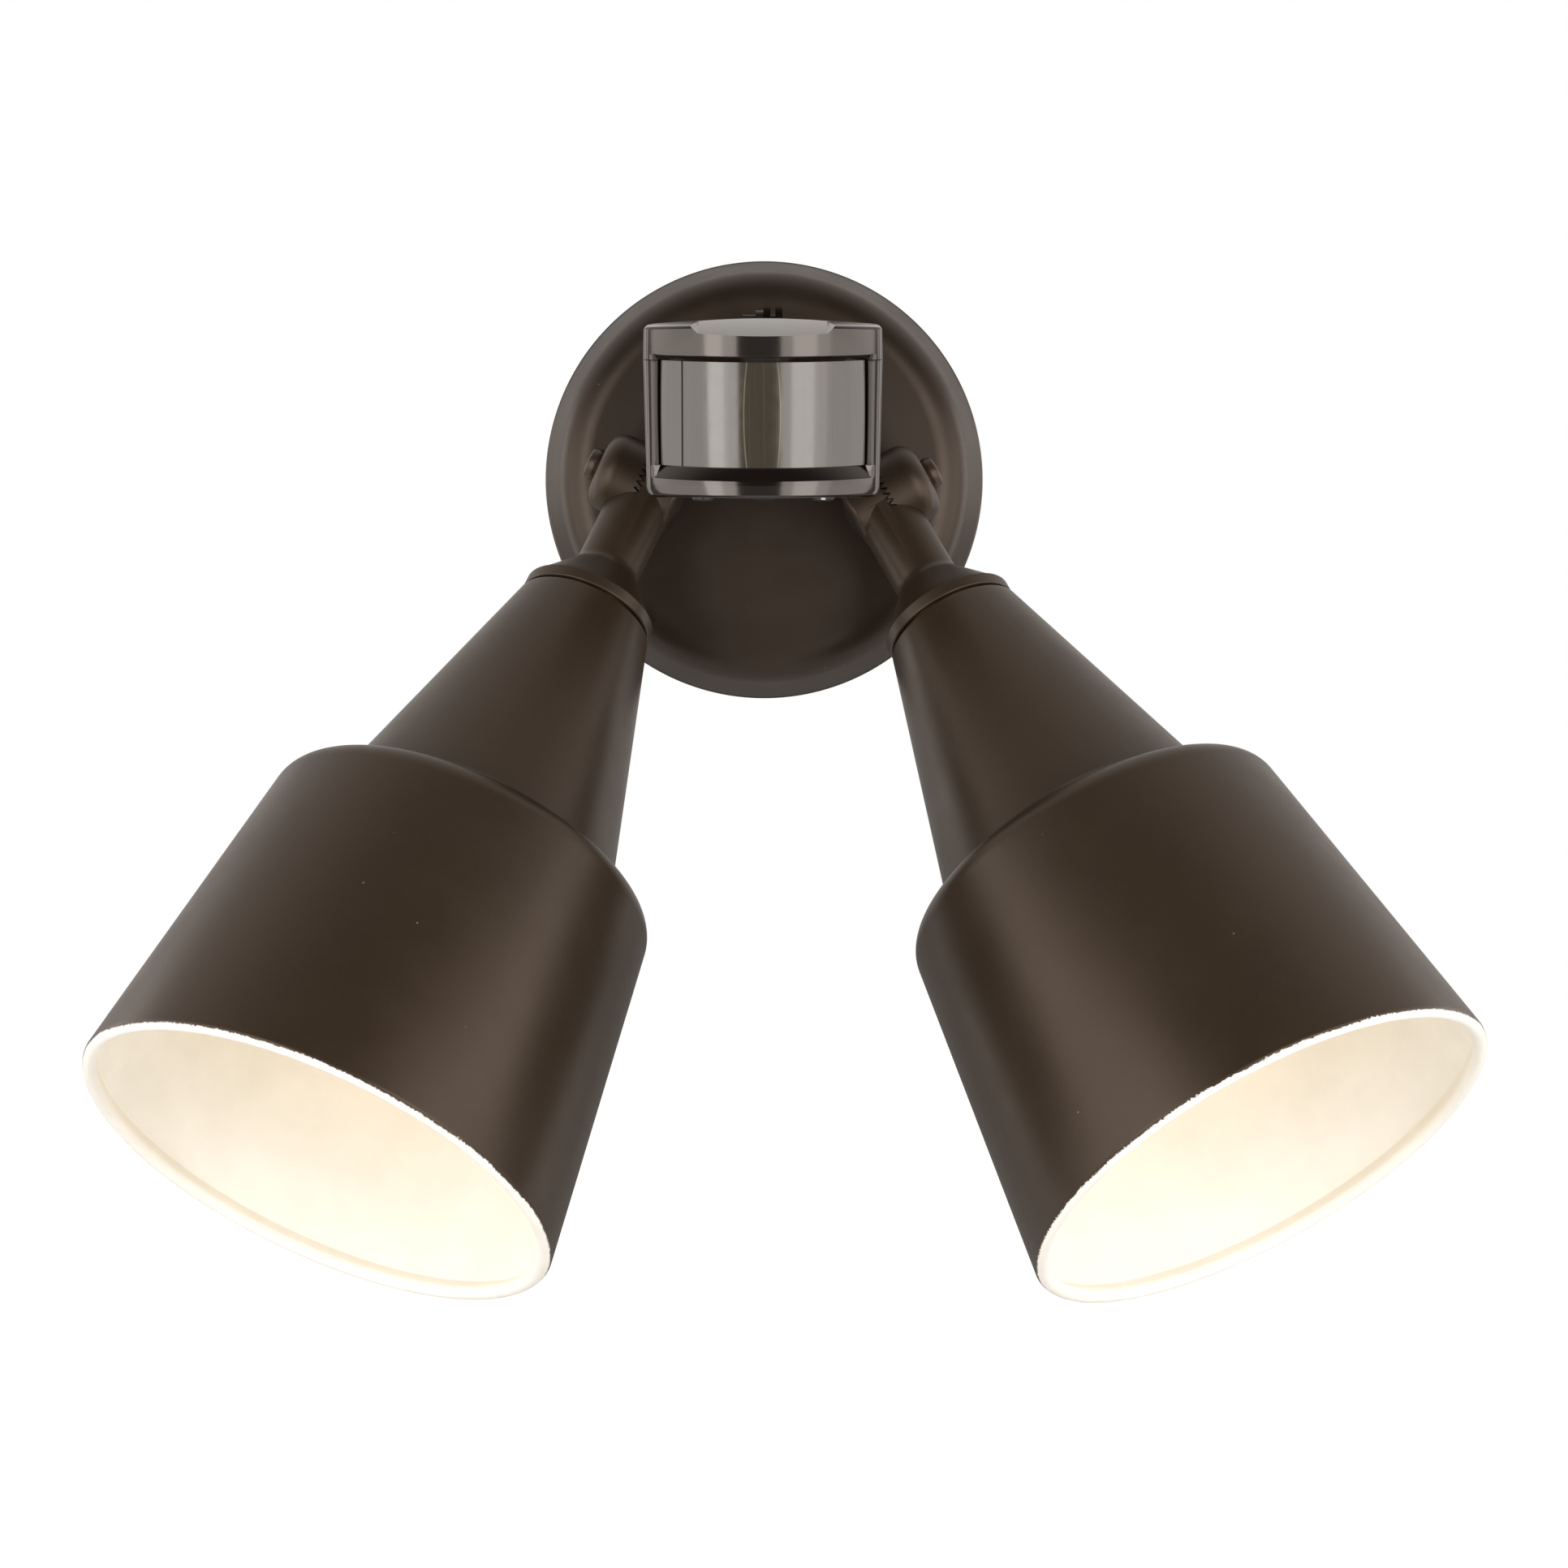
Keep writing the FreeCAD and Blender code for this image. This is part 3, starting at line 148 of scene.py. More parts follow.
def rounded(profile, radii, steps=6):
    """A (radius, height) outline with its corners rounded; a support point by each corner."""
    out = []
    count = len(profile)
    for i, point in enumerate(profile):
        p = Vector(point)
        r = radii.get(i, 0.0)
        if i in (0, count - 1) or r <= 0:
            out.append(p)
            continue
        a = Vector(profile[i - 1]) - p
        b = Vector(profile[i + 1]) - p
        la, lb = a.length, b.length
        a.normalize()
        b.normalize()
        half = a.angle(b) / 2
        reach = min(r / math.tan(half), la * 0.49, lb * 0.49)    # under half of each side
        radius = reach * math.tan(half)
        centre = p + (a + b).normalized() * (radius / math.sin(half))
        start = p + a * reach - centre
        end = p + b * reach - centre
        turn = math.atan2(start.x * end.y - start.y * end.x, start.dot(end))
        if la > reach * 2 + SUPPORT:
            out.append(p + a * (reach + min(SUPPORT, la * 0.2)))
        for k in range(steps + 1):
            angle = turn * k / steps
            c, s = math.cos(angle), math.sin(angle)
            out.append(centre + Vector((start.x * c - start.y * s, start.x * s + start.y * c)))
        if lb > reach * 2 + SUPPORT:
            out.append(p + b * (reach + min(SUPPORT, lb * 0.2)))
    return out


def lathe(name, profile, matrix, segments=128, closed=False, wave=None):
    """Turn (radius, height) points about Z. wave(i, angle) moves a ring's points along Z."""
    verts = []
    rings = []
    for i, (r, h) in enumerate(profile):
        if r < 1e-6:
            rings.append([len(verts)])
            verts.append((0.0, 0.0, h))
            continue
        ring = []
        for k in range(segments):
            angle = 2 * math.pi * k / segments
            lift = wave(i, angle) if wave else 0.0
            ring.append(len(verts))
            verts.append((r * math.cos(angle), r * math.sin(angle), h + lift))
        rings.append(ring)
    faces = []
    pairs = list(zip(rings, rings[1:]))
    if closed:
        pairs.append((rings[-1], rings[0]))
    for one, two in pairs:
        if len(one) == 1 and len(two) == 1:
            continue
        for k in range(segments):
            n = (k + 1) % segments
            if len(one) == 1:
                faces.append((one[0], two[k], two[n]))
            elif len(two) == 1:
                faces.append((one[k], one[n], two[0]))
            else:
                faces.append((one[k], one[n], two[n], two[k]))
    return from_lists(name, verts, faces, matrix)


def boolean(base, tool, operation):
    """Change base by an operation with tool, which is then removed."""
    modifier = base.modifiers.new("cut", "BOOLEAN")
    modifier.operation = operation
    modifier.solver = "EXACT"
    modifier.object = tool
    bpy.context.view_layer.update()
    graph = bpy.context.evaluated_depsgraph_get()
    mesh = bpy.data.meshes.new_from_object(base.evaluated_get(graph))
    base.modifiers.clear()
    old = base.data
    base.data = mesh
    mesh.name = base.name
    bpy.data.meshes.remove(old)
    tool_mesh = tool.data
    bpy.data.objects.remove(tool)
    bpy.data.meshes.remove(tool_mesh)


MERGE = 0.004 * MM      # points closer than this become one after a boolean


def clean(obj):
    """Merge the doubled points and slivers that a boolean leaves."""
    bm = bmesh.new()
    bm.from_mesh(obj.data)
    bmesh.ops.remove_doubles(bm, verts=bm.verts, dist=MERGE)
    bmesh.ops.dissolve_degenerate(bm, edges=bm.edges, dist=MERGE)
    bm.to_mesh(obj.data)
    bm.free()


def box_mesh(name, low, high, matrix, bevel, segments=3):
    """A box between two corners (mm) of a frame, its edges rounded."""
    x0, y0, z0 = low
    x1, y1, z1 = high
    verts = [(x, y, z) for z in (z0, z1) for y in (y0, y1) for x in (x0, x1)]
    faces = [(0, 2, 3, 1), (4, 5, 7, 6), (0, 1, 5, 4), (2, 6, 7, 3), (0, 4, 6, 2), (1, 3, 7, 5)]
    obj = from_lists(name, verts, faces, matrix)
    bm = bmesh.new()
    bm.from_mesh(obj.data)
    bmesh.ops.bevel(bm, geom=list(bm.edges), offset=bevel * MM, segments=segments,
                    affect="EDGES", profile=0.5)
    bm.to_mesh(obj.data)
    bm.free()
    return obj


def finish_piece(obj, material, body, nodes, angle=35.0):
    """Material, shading, body and the CAD nodes that a piece stands for."""
    obj.data.materials.clear()
    obj.data.materials.append(material)
    smooth(obj, angle)
    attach(obj, body)
    if nodes:
        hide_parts(*nodes)


# ------------------------------------------------------------------ material tools


class Nodes:
    """A short way to write a material's node tree."""

    def __init__(self, name):
        self.material = bpy.data.materials.new(name)
        self.material.use_nodes = True
        self.tree = self.material.node_tree
        self.tree.nodes.clear()
        self.out = self.tree.nodes.new("ShaderNodeOutputMaterial")
        self.bsdf = self.tree.nodes.new("ShaderNodeBsdfPrincipled")
        self.link(self.bsdf.outputs[0], self.out.inputs["Surface"])
        coord = self.tree.nodes.new("ShaderNodeTexCoord")
        self.object = coord.outputs["Object"]

    def link(self, a, b):
        """Join an output to an input."""
        self.tree.links.new(a, b)

    def set(self, **values):
        """Set inputs of the surface shader, spaces in their names written as underscores."""
        for key, value in values.items():
            self.bsdf.inputs[key.replace("_", " ")].default_value = value

    def add(self, kind, **values):
        """A node with some of its properties set."""
        node = self.tree.nodes.new(kind)
        for key, value in values.items():
            setattr(node, key, value)
        return node

    def mapping(self, scale, rotation=(0, 0, 0)):
        """The object's coordinates, stretched and turned."""
        node = self.add("ShaderNodeMapping")
        node.inputs["Scale"].default_value = scale
        node.inputs["Rotation"].default_value = rotation
        self.link(self.object, node.inputs["Vector"])
        return node.outputs[0]

    def noise(self, scale, detail, rough, vector=None):
        """Noise of about 0.3 to 0.7."""
        node = self.add("ShaderNodeTexNoise")
        node.inputs["Scale"].default_value = scale
        node.inputs["Detail"].default_value = detail
        node.inputs["Roughness"].default_value = rough
        self.link(vector or self.object, node.inputs["Vector"])
        return node.outputs["Fac"]

    def map(self, value, low, high, to_low=0.0, to_high=1.0):
        """A value carried from one range to another, and held inside it."""
        node = self.add("ShaderNodeMapRange")
        for name, number in (("From Min", low), ("From Max", high), ("To Min", to_low),
                             ("To Max", to_high)):
            node.inputs[name].default_value = number
        self.link(value, node.inputs["Value"])
        return node.outputs["Result"]

    def math(self, operation, a, b=None, clamp=False):
        """An operation on numbers or outputs."""
        node = self.add("ShaderNodeMath", operation=operation, use_clamp=clamp)
        for socket, item in zip(node.inputs, (a, b)):
            if item is None:
                continue
            if isinstance(item, (int, float)):
                socket.default_value = item
            else:
                self.link(item, socket)
        return node.outputs[0]

    def mix(self, factor, a, b):
        """The colour a changed into b by a factor."""
        node = self.add("ShaderNodeMix", data_type="RGBA")
        for socket, item in ((node.inputs[0], factor), (node.inputs[6], a), (node.inputs[7], b)):
            if isinstance(item, (int, float)):
                socket.default_value = item
            elif isinstance(item, tuple):
                socket.default_value = (*item, 1.0)
            else:
                self.link(item, socket)
        return node.outputs[2]

    def bump(self, height, strength, distance):
        """Relief on the surface from a height."""
        node = self.add("ShaderNodeBump")
        node.inputs["Strength"].default_value = strength
        node.inputs["Distance"].default_value = distance
        self.link(height, node.inputs["Height"])
        self.link(node.outputs[0], self.bsdf.inputs["Normal"])


def srgb(r, g, b):
    """A linear colour from the 0 to 255 values of a picture."""
    out = []
    for v in (r, g, b):
        v = v / 255.0
        out.append(v / 12.92 if v <= 0.04045 else ((v + 0.055) / 1.055) ** 2.4)
    return tuple(out)


def spots(n, vector, scale, size, channel, rarity):
    """A mask of small spots, one in each chosen cell of a space."""
    cells = n.add("ShaderNodeTexVoronoi", feature="F1")
    cells.inputs["Scale"].default_value = scale
    n.link(vector, cells.inputs["Vector"])
    near = n.map(cells.outputs["Distance"], 0.0, size, 1.0, 0.0)
    pick = n.add("ShaderNodeSeparateColor")
    n.link(cells.outputs["Color"], pick.inputs[0])
    chosen = n.math("GREATER_THAN", pick.outputs[channel], rarity)
    return n.math("MULTIPLY", near, chosen, clamp=True)


def specks(n, scale, size, seed):
    """A mask of rare tiny round specks."""
    shifted = n.add("ShaderNodeVectorMath", operation="ADD")
    shifted.inputs[1].default_value = (seed, seed * 0.7, seed * 1.3)
    n.link(n.object, shifted.inputs[0])
    return spots(n, shifted.outputs[0], scale, size, 0, 0.86)


def scratches(n, stretch, size):
    """A mask of rare short slanting scratches."""
    return spots(n, n.mapping(stretch, (0.5, 0.9, 0.2)), 1.0, size, 1, 0.9)


def worn(n, colour, light, marks):
    """Paint in soft patches with a fine grain, under marks of (mask, strength, colour)."""
    base = n.mix(n.map(n.noise(22.0, 4.0, 0.55), 0.3, 0.72, 0.0, 0.6), colour, light)
    grain = n.map(n.noise(900.0, 2.0, 0.6), 0.3, 0.7, 0.0, 0.12)
    base = n.mix(grain, base, tuple(c * 1.7 for c in light))
    for mask, strength, tone in marks:
        base = n.mix(n.math("MULTIPLY", mask, strength), base, tone)
    return base


def paint(name, colour, light, rough=0.4):
    """Sprayed satin paint: soft patches, orange peel, dust specks and rare scratches."""
    n = Nodes(name)
    base = worn(n, colour, light, (
        (specks(n, 170.0, 0.055, 3.1), 0.55, srgb(170, 160, 145)),
        (specks(n, 120.0, 0.05, 11.7), 0.7, srgb(28, 22, 17)),
        (scratches(n, (260.0, 40.0, 60.0), 0.035), 0.6, srgb(190, 165, 120))))
    n.link(base, n.bsdf.inputs["Base Color"])
    roughness = n.map(n.noise(60.0, 4.0, 0.6), 0.3, 0.7, rough - 0.04, rough + 0.05)
    n.link(roughness, n.bsdf.inputs["Roughness"])
    n.set(IOR=1.5, Specular_Tint=WARM)
    n.bump(n.noise(520.0, 2.0, 0.5), 0.10, 0.00012)
    return n.material


def plain(name, colour, rough, metallic=0.0, grain=700.0, bump=0.08, vary=0.18):
    """Moulded, plated or painted surfaces with slight variation of tone and gloss."""
    n = Nodes(name)
    dark = tuple(c * (1.0 - vary) for c in colour)
    base = n.mix(n.map(n.noise(45.0, 4.0, 0.6), 0.3, 0.7), dark, colour)
    n.link(base, n.bsdf.inputs["Base Color"])
    n.link(n.map(n.noise(130.0, 3.0, 0.6), 0.3, 0.7, rough * 0.88, min(1.0, rough * 1.15)),
           n.bsdf.inputs["Roughness"])
    n.set(Metallic=metallic)
    n.bump(n.noise(grain, 2.0, 0.6), bump, 0.0001)
    return n.material


BRONZE = srgb(38, 29, 20)
BRONZE_LIGHT = srgb(45, 35, 25)
WARM = (1.0, 0.82, 0.70, 1.0)
bronze = paint("bronze_paint", BRONZE, BRONZE_LIGHT)
# the canopy takes a darker copy of the bronze paint: painted shade, for the light that the head
# and the lamps keep off it; it is also a little glossier
canopy_paint_painted_shade = paint("canopy_paint_painted_shade", srgb(30, 22, 16), srgb(35, 27, 20), rough=0.36)
bolt_paint = paint("bolt_paint", srgb(48, 36, 29), srgb(56, 43, 35), rough=0.36)


def plastic_material():
    """Semi-gloss moulding with a fine sparkling grain."""
    n = Nodes("brown_plastic")
    base = n.mix(n.map(n.noise(60.0, 3.0, 0.5), 0.3, 0.7), srgb(12, 7, 5), srgb(15, 10, 8))
    n.link(base, n.bsdf.inputs["Base Color"])
    n.link(n.map(n.noise(2600.0, 2.0, 0.5), 0.3, 0.7, 0.09, 0.15), n.bsdf.inputs["Roughness"])
    n.set(IOR=1.72, Specular_Tint=(1.0, 0.93, 0.88, 1.0))
    n.bump(n.noise(2400.0, 2.0, 0.6), 0.04, 0.00004)
    return n.material


plastic = plastic_material()


# the lens's seam and painted lines, in metres: the seam, the middle of the lens's height, half
# its height, and half the width of the bowed field, wider at its middle, between two fine pale
# lines of painted highlight along a reflection's edges
SEAM_X = -0.0219
LENS_MIDDLE = 0.0112
LENS_HALF = 0.0142
PAINTED_LINES_HALF = 0.0050


def lens_material():
    """Smoked lens: glossy, fine upright ribs showing through, a seam, two curved painted
    highlight lines.
    """
    n = Nodes("smoky_lens")
    split = n.add("ShaderNodeSeparateXYZ")
    n.link(n.object, split.inputs[0])
    x = split.outputs[0]
    ribs = n.noise(1.0, 3.0, 0.7, vector=n.mapping((2600.0, 30.0, 14.0)))
    streaks = n.noise(1.0, 2.0, 0.5, vector=n.mapping((700.0, 20.0, 9.0)))
    base = n.mix(n.map(ribs, 0.3, 0.72), srgb(40, 34, 26), srgb(54, 48, 36))
    base = n.mix(n.map(streaks, 0.35, 0.7, 0.0, 0.35), base, srgb(66, 60, 46))
    seam = n.math("ABSOLUTE", n.math("SUBTRACT", x, SEAM_X))
    seam = n.map(seam, 0.00012, 0.00034, 1.0, 0.0)
    base = n.mix(n.math("MULTIPLY", seam, 0.95), base, srgb(18, 14, 11))
    # painted highlight: two fine pale lines, bowed wider at the middle, where the edges of a
    # reflection fall
    height = n.math("DIVIDE", n.math("SUBTRACT", split.outputs[2], LENS_MIDDLE), LENS_HALF)
    bulge = n.math("MULTIPLY", n.math("MULTIPLY", height, height), 0.00085)
    across = n.math("ABSOLUTE", n.math("ADD", x, 0.00015))
    painted_highlight_lines = n.math("ABSOLUTE", n.math("SUBTRACT", n.math("ADD", across, bulge), PAINTED_LINES_HALF))
    painted_highlight_lines = n.map(painted_highlight_lines, 0.00006, 0.00026, 1.0, 0.0)
    base = n.mix(n.math("MULTIPLY", painted_highlight_lines, 0.32), base, srgb(160, 150, 128))
    n.link(n.map(seam, 0.0, 1.0, 0.5, 0.04), n.bsdf.inputs["Specular IOR Level"])
    n.link(base, n.bsdf.inputs["Base Color"])
    n.link(n.map(n.noise(300.0, 3.0, 0.5), 0.3, 0.7, 0.10, 0.16), n.bsdf.inputs["Roughness"])
    n.set(IOR=1.78)
    n.bump(ribs, 0.02, 0.00004)
    return n.material


lens_mat = lens_material()


def shade_material():
    """Bronze paint outside, white inside; the attribute edge is mm past the bronze."""
    n = Nodes("shade_paint")
    base = worn(n, BRONZE, BRONZE_LIGHT, (
        (specks(n, 150.0, 0.05, 3.1), 0.6, srgb(175, 165, 150)),
        (specks(n, 110.0, 0.045, 11.7), 0.7, srgb(25, 20, 16)),
        (scratches(n, (240.0, 40.0, 70.0), 0.04), 0.6, srgb(36, 26, 18))))
    white = n.mix(n.map(n.noise(55.0, 4.0, 0.6), 0.3, 0.7), srgb(238, 236, 230),
                  srgb(246, 244, 239))
    edge = n.add("ShaderNodeAttribute", attribute_name="edge").outputs["Fac"]
    rough_line = n.map(n.noise(1500.0, 5.0, 0.75), 0.25, 0.75, -0.55, 0.55)
    wander = n.map(n.noise(60.0, 3.0, 0.5), 0.3, 0.7, -0.2, 0.2)
    place = n.math("ADD", n.math("ADD", edge, rough_line), wander)
    mask = n.map(place, -0.12, 0.12)
    base = n.mix(mask, base, white)
    n.link(base, n.bsdf.inputs["Base Color"])
    roughness = n.map(n.noise(60.0, 4.0, 0.6), 0.3, 0.7, 0.34, 0.41)
    n.link(roughness, n.bsdf.inputs["Roughness"])
    n.set(IOR=1.5, Specular_Tint=WARM)
    n.bump(n.noise(520.0, 2.0, 0.5), 0.10, 0.00012)
    return n.material


shade_mat = shade_material()

rubber = plain("rubber", srgb(34, 33, 32), 0.75, grain=1500.0, bump=0.25)
steel = plain("zinc_steel", srgb(190, 190, 186), 0.32, 1.0, grain=1200.0, bump=0.12)
dark_metal = plain("dark_metal", srgb(52, 45, 40), 0.36, 0.6, grain=1200.0, bump=0.1)
green_steel = plain("green_steel", srgb(40, 120, 62), 0.38, 0.3)
brass = plain("brass", srgb(205, 165, 92), 0.28, 1.0, grain=1000.0, bump=0.1)
dull_brass = plain("dull_brass", srgb(122, 92, 56), 0.34, 1.0, grain=1000.0, bump=0.1)
holder = plain("holder_black", srgb(30, 29, 29), 0.3, bump=0.12)
lamp_cap = plain("lamp_cap", srgb(200, 200, 200), 0.3, 1.0)
lamp_white = plain("lamp_white", srgb(236, 234, 228), 0.45, vary=0.05)
nylon = plain("pale_plastic", srgb(205, 200, 186), 0.5, vary=0.08)
board_mat = plain("board", srgb(30, 88, 52), 0.4)
cell_mat = plain("cell_face", srgb(180, 92, 50), 0.25)
relay_mat = plain("relay_case", srgb(30, 50, 100), 0.35)
trimmer_mat = plain("trimmer_case", srgb(40, 80, 165), 0.35)
dark_plastic = plain("dark_plastic", srgb(36, 32, 30), 0.42, grain=1800.0, bump=0.2)


def diffuser_material():
    """The lit lamp's frosted globe."""
    n = Nodes("lamp_diffuser")
    base = n.mix(n.map(n.noise(40.0, 3.0, 0.5), 0.3, 0.7), srgb(250, 228, 186),
                 srgb(252, 236, 200))
    n.link(base, n.bsdf.inputs["Base Color"])
    n.link(base, n.bsdf.inputs["Emission Color"])
    n.set(Roughness=0.4)
    n.bsdf.inputs["Emission Strength"].default_value = 0.8
    n.bump(n.noise(900.0, 2.0, 0.5), 0.04, 0.0001)
    return n.material


diffuser = diffuser_material()

CAD_MATERIALS = {
    "canopy": bronze, "canopy_gasket": rubber, "mounting_crossbar": steel,
    "mounting_washer": rubber, "mounting_screw": bronze, "ground_screw": green_steel,
    "sensor_ball_stem": bronze, "sensor_stem_gasket": rubber, "sensor_stem_locknut": steel,
    "ball_bushing": nylon, "sensor_clamp": plastic, "clamp_screw": dark_metal,
    "clamp_nut": dark_metal,
    "sensor_body": plastic, "sensor_top_cover": plastic, "sensor_lens": lens_mat,
    "circuit_board": board_mat, "infrared_detector": steel, "light_cell": cell_mat,
    "switching_relay": relay_mat, "trimmers": trimmer_mat, "control_panel": plastic,
    "housing_screws": steel, "on_time_knob": dark_plastic, "range_knob": dark_plastic,
}
for side in SIGN:
    for name, material in (("stem_gasket", rubber), ("stem_locknut", steel),
                           ("knuckle_base", bronze), ("knuckle_bolt", bolt_paint),
                           ("lamp_arm", bronze), ("shade", bronze), ("shade_washer", dull_brass),
                           ("socket_nipple", brass), ("lamp_socket", holder),
                           ("socket_shell", brass), ("socket_contact", brass),
                           ("lamp_base", lamp_cap), ("lamp_housing", lamp_white),
                           ("lamp_globe", diffuser)):
        CAD_MATERIALS[side + "_" + name] = material
for name, material in CAD_MATERIALS.items():
    obj = NODES[name]
    if not obj.material_slots:
        obj.data.materials.append(material)
    for slot in obj.material_slots:
        slot.material = material

# ------------------------------------------------------------------ shades

WELL_INSIDE = 40.0      # an edge value that is white for certain


def make_shade(side):
    """The spun shade with its rolled lip, as one skin with an inside and an outside."""
    wall = 1.2
    hole = 5.1
    top, neck_end, shoulder = (19.2, 0.8), (40.4, 78.3), (54.3, 84.0)
    mouth, low = 66.8, 181.5
    slope = (mouth - 54.2) / (low - 85.5)
    bead = 2.0                  # the lip's radius
    lip_steps, sweep = 16, 1.18     # points round the lip, and how far it goes in half turns
    lip_reach = 3.4             # how far above the lip the inside meets the wall
    over = 1.1                  # how far the bronze goes round the lip
    outside = rounded([(hole, top[1]), top, neck_end, shoulder,
                       (mouth - slope * bead, low - bead)],
                      {1: 1.0, 2: 3.5, 3: 7.0}, steps=10)
    centre = Vector((mouth - slope * bead - bead, low - bead))
    roll = []
    for k in range(1, lip_steps + 1):
        angle = math.radians(-k * 180 / lip_steps * sweep)
        roll.append(centre + Vector((math.cos(angle), -math.sin(angle))) * bead)
    inner_mouth = mouth - slope * (bead + lip_reach) - wall
    inside = rounded([(roll[-1].x, roll[-1].y), (inner_mouth - 0.25, low - bead - lip_reach),
                      *((r - wall, h + wall) for r, h in (shoulder, neck_end, top)),
                      (hole, top[1] + wall)],
                     {1: 0.6, 2: 6.8, 3: 5.2, 4: 0.6}, steps=8)
    profile = [tuple(p) for p in outside] + [tuple(p) for p in roll] + \
              [tuple(p) for p in inside[1:]]
    edge_values = []
    for i, p in enumerate(profile):
        if i < len(outside):
            edge_values.append(p[1] - (low - bead) - over)
        elif i < len(outside) + len(roll):
            turned = (i - len(outside) + 1) * bead * math.pi * sweep / lip_steps
            edge_values.append(-over + turned)
        else:
            edge_values.append(WELL_INSIDE)
    obj = lathe(side + "_shade_skin", profile, shade_frame(side), 256, closed=True)
    # the distance past the bronze goes with each point, found again by its place
    inverse = shade_frame(side).inverted()
    attribute = obj.data.attributes.new("edge", "FLOAT", "POINT")
    table = {(round(p[0], 2), round(p[1], 2)): e for p, e in zip(profile, edge_values)}
    for vertex, item in zip(obj.data.vertices, attribute.data):
        local = inverse @ (vertex.co / MM)
        key = (round(math.hypot(local.x, local.y), 2), round(local.z, 2))
        value = table.get(key)
        if value is None:
            value = min(((k[0] - key[0]) ** 2 + (k[1] - key[1]) ** 2, e)
                        for k, e in table.items())[1]
        item.value = value
    finish_piece(obj, shade_mat, side + "_lamp", [side + "_shade"], 40.0)


for side in SIGN:
    make_shade(side)

# ------------------------------------------------------------------ canopy


def make_canopy():
    """The spun canopy: a face that falls softly to a rounded shoulder, a slanted side, holes."""
    depth, wall = 18.0, 1.5
    outside = rounded([(0, depth), (36.0, depth), (56.6, depth - 1.3), (63.0, 0.8),
                       (63.5, 0.0)], {1: 120.0, 2: 11.0, 3: 0.6}, steps=12)
    inside = rounded([(61.0, 0.0), (55.2 - wall, depth - 2.2 - wall), (0, depth - 0.4 - wall)],
                     {1: 4.0}, steps=6)
    profile = [tuple(p) for p in outside] + [tuple(p) for p in inside]
    wall_frame = Matrix.Rotation(math.radians(90), 4, "X")
    canopy = lathe("canopy_pan", profile, wall_frame, 256)
    holes = [(stem_centre(side).x, stem_centre(side).z, 11.1) for side in SIGN]
    holes += [(0.0, BALL.z, 11.1), (0.0, 0.0, 2.7)]
    for x, z, radius in holes:
        drill = lathe("drill", [(0, -1), (radius, -1), (radius, depth + 2), (0, depth + 2)],
                      Matrix.Translation((x, 0, z)) @ wall_frame, 64)
        boolean(canopy, drill, "DIFFERENCE")
    clean(canopy)
    # the darker canopy paint is painted shade
    finish_piece(canopy, canopy_paint_painted_shade, "base", ["canopy"], 40.0)


make_canopy()

# ------------------------------------------------------------------ knuckles and arms

TEETH = 40
TOOTH = 1.8             # full height of a tooth at the rim
TOOTH_GAP = 0.22        # from the lap's plane to the middle of the teeth
ROOT = 1.6              # the band below the teeth
HUB_OUTER = 11.6        # the hub's outer face, along the bolt


def zigzag(angle):
    """From -0.5 to 0.5, one tooth in each TEETH-th of a turn."""
    phase = (angle * TEETH / (2 * math.pi)) % 1.0
    return abs(phase * 2 - 1) - 0.5


def toothed_disc(name, radius, matrix, far, rim_round):
    """A round block about Z with a toothed face by z = 0 and its plain face at z = far."""
    inner = 5.2
    out = 1 if far > 0 else -1
    profile = [(r, out * TOOTH_GAP) for r in (0.0, inner * 0.7, inner, radius)]
    profile.append((radius, out * ROOT))
    corner = rounded([(radius, out * ROOT), (radius, far), (0.0, far)], {1: rim_round}, steps=9)
    profile += [tuple(p) for p in corner[1:]]

    def wave(i, angle):
        """Teeth that fade from the rim towards the centre."""
        if i == 3:
            return zigzag(angle) * TOOTH
        if i == 2:
            return zigzag(angle) * TOOTH * inner / radius
        return 0.0

    return lathe(name, profile, matrix, TEETH * 4, wave=wave)


def make_knuckle(side):
    """The fixed half: hub, neck, flange and threaded stem."""
    base = knuckle_frame(side)
    lap = base @ Matrix.Translation((LAP, 0, 0)) @ TO_X
    hub = toothed_disc(side + "_knuckle_casting", HUB_RADIUS, lap, HUB_OUTER - LAP, 5.2)
    face = -PIVOT_DEPTH + 19.2
    flange_top = face + 3.0
    neck = box_mesh("neck", (LAP + 0.9, -7.6, flange_top - 1.5), (6.6, 7.6, -6.0), base, 1.6)
    stem = lathe("stem", rounded([(0, -PIVOT_DEPTH + 7.0), (10.0, -PIVOT_DEPTH + 7.0),
                                  (10.6, -PIVOT_DEPTH + 7.6), (10.6, face), (12.6, face),
                                  (12.6, flange_top), (8.4, flange_top + 0.9),
                                  (0, flange_top + 0.9)],
                                 {5: 1.1, 6: 1.0}), base, 96)
    boolean(hub, neck, "UNION")
    boolean(hub, stem, "UNION")
    clean(hub)
    finish_piece(hub, bronze, side + "_knuckle", [side + "_knuckle_base"], 32.0)


def make_bolt(side):
    """A pan-headed bolt: a bulging head with a cross recess, painted over."""
    place = knuckle_frame(side) @ TO_X
    low = HUB_OUTER
    head = lathe(side + "_bolt_head", rounded(
        [(0, -11.0), (2.4, -11.0), (2.4, low - 0.2), (4.3, low - 0.2), (4.7, low + 1.3),
         (4.1, low + 3.3), (2.4, low + 3.6), (0, low + 3.55)],
        {4: 1.2, 5: 1.1, 6: 0.8}, steps=6), place, 64)
    for turn in (20.0, 110.0):
        arm = box_mesh("slot", (-1.9, -0.45, low + 2.3), (1.9, 0.45, low + 4.5),
                       place @ Matrix.Rotation(math.radians(turn), 4, "Z"), 0.12, 2)
        boolean(head, arm, "DIFFERENCE")
    clean(head)
    finish_piece(head, bolt_paint, side + "_knuckle", [side + "_knuckle_bolt"], 40)


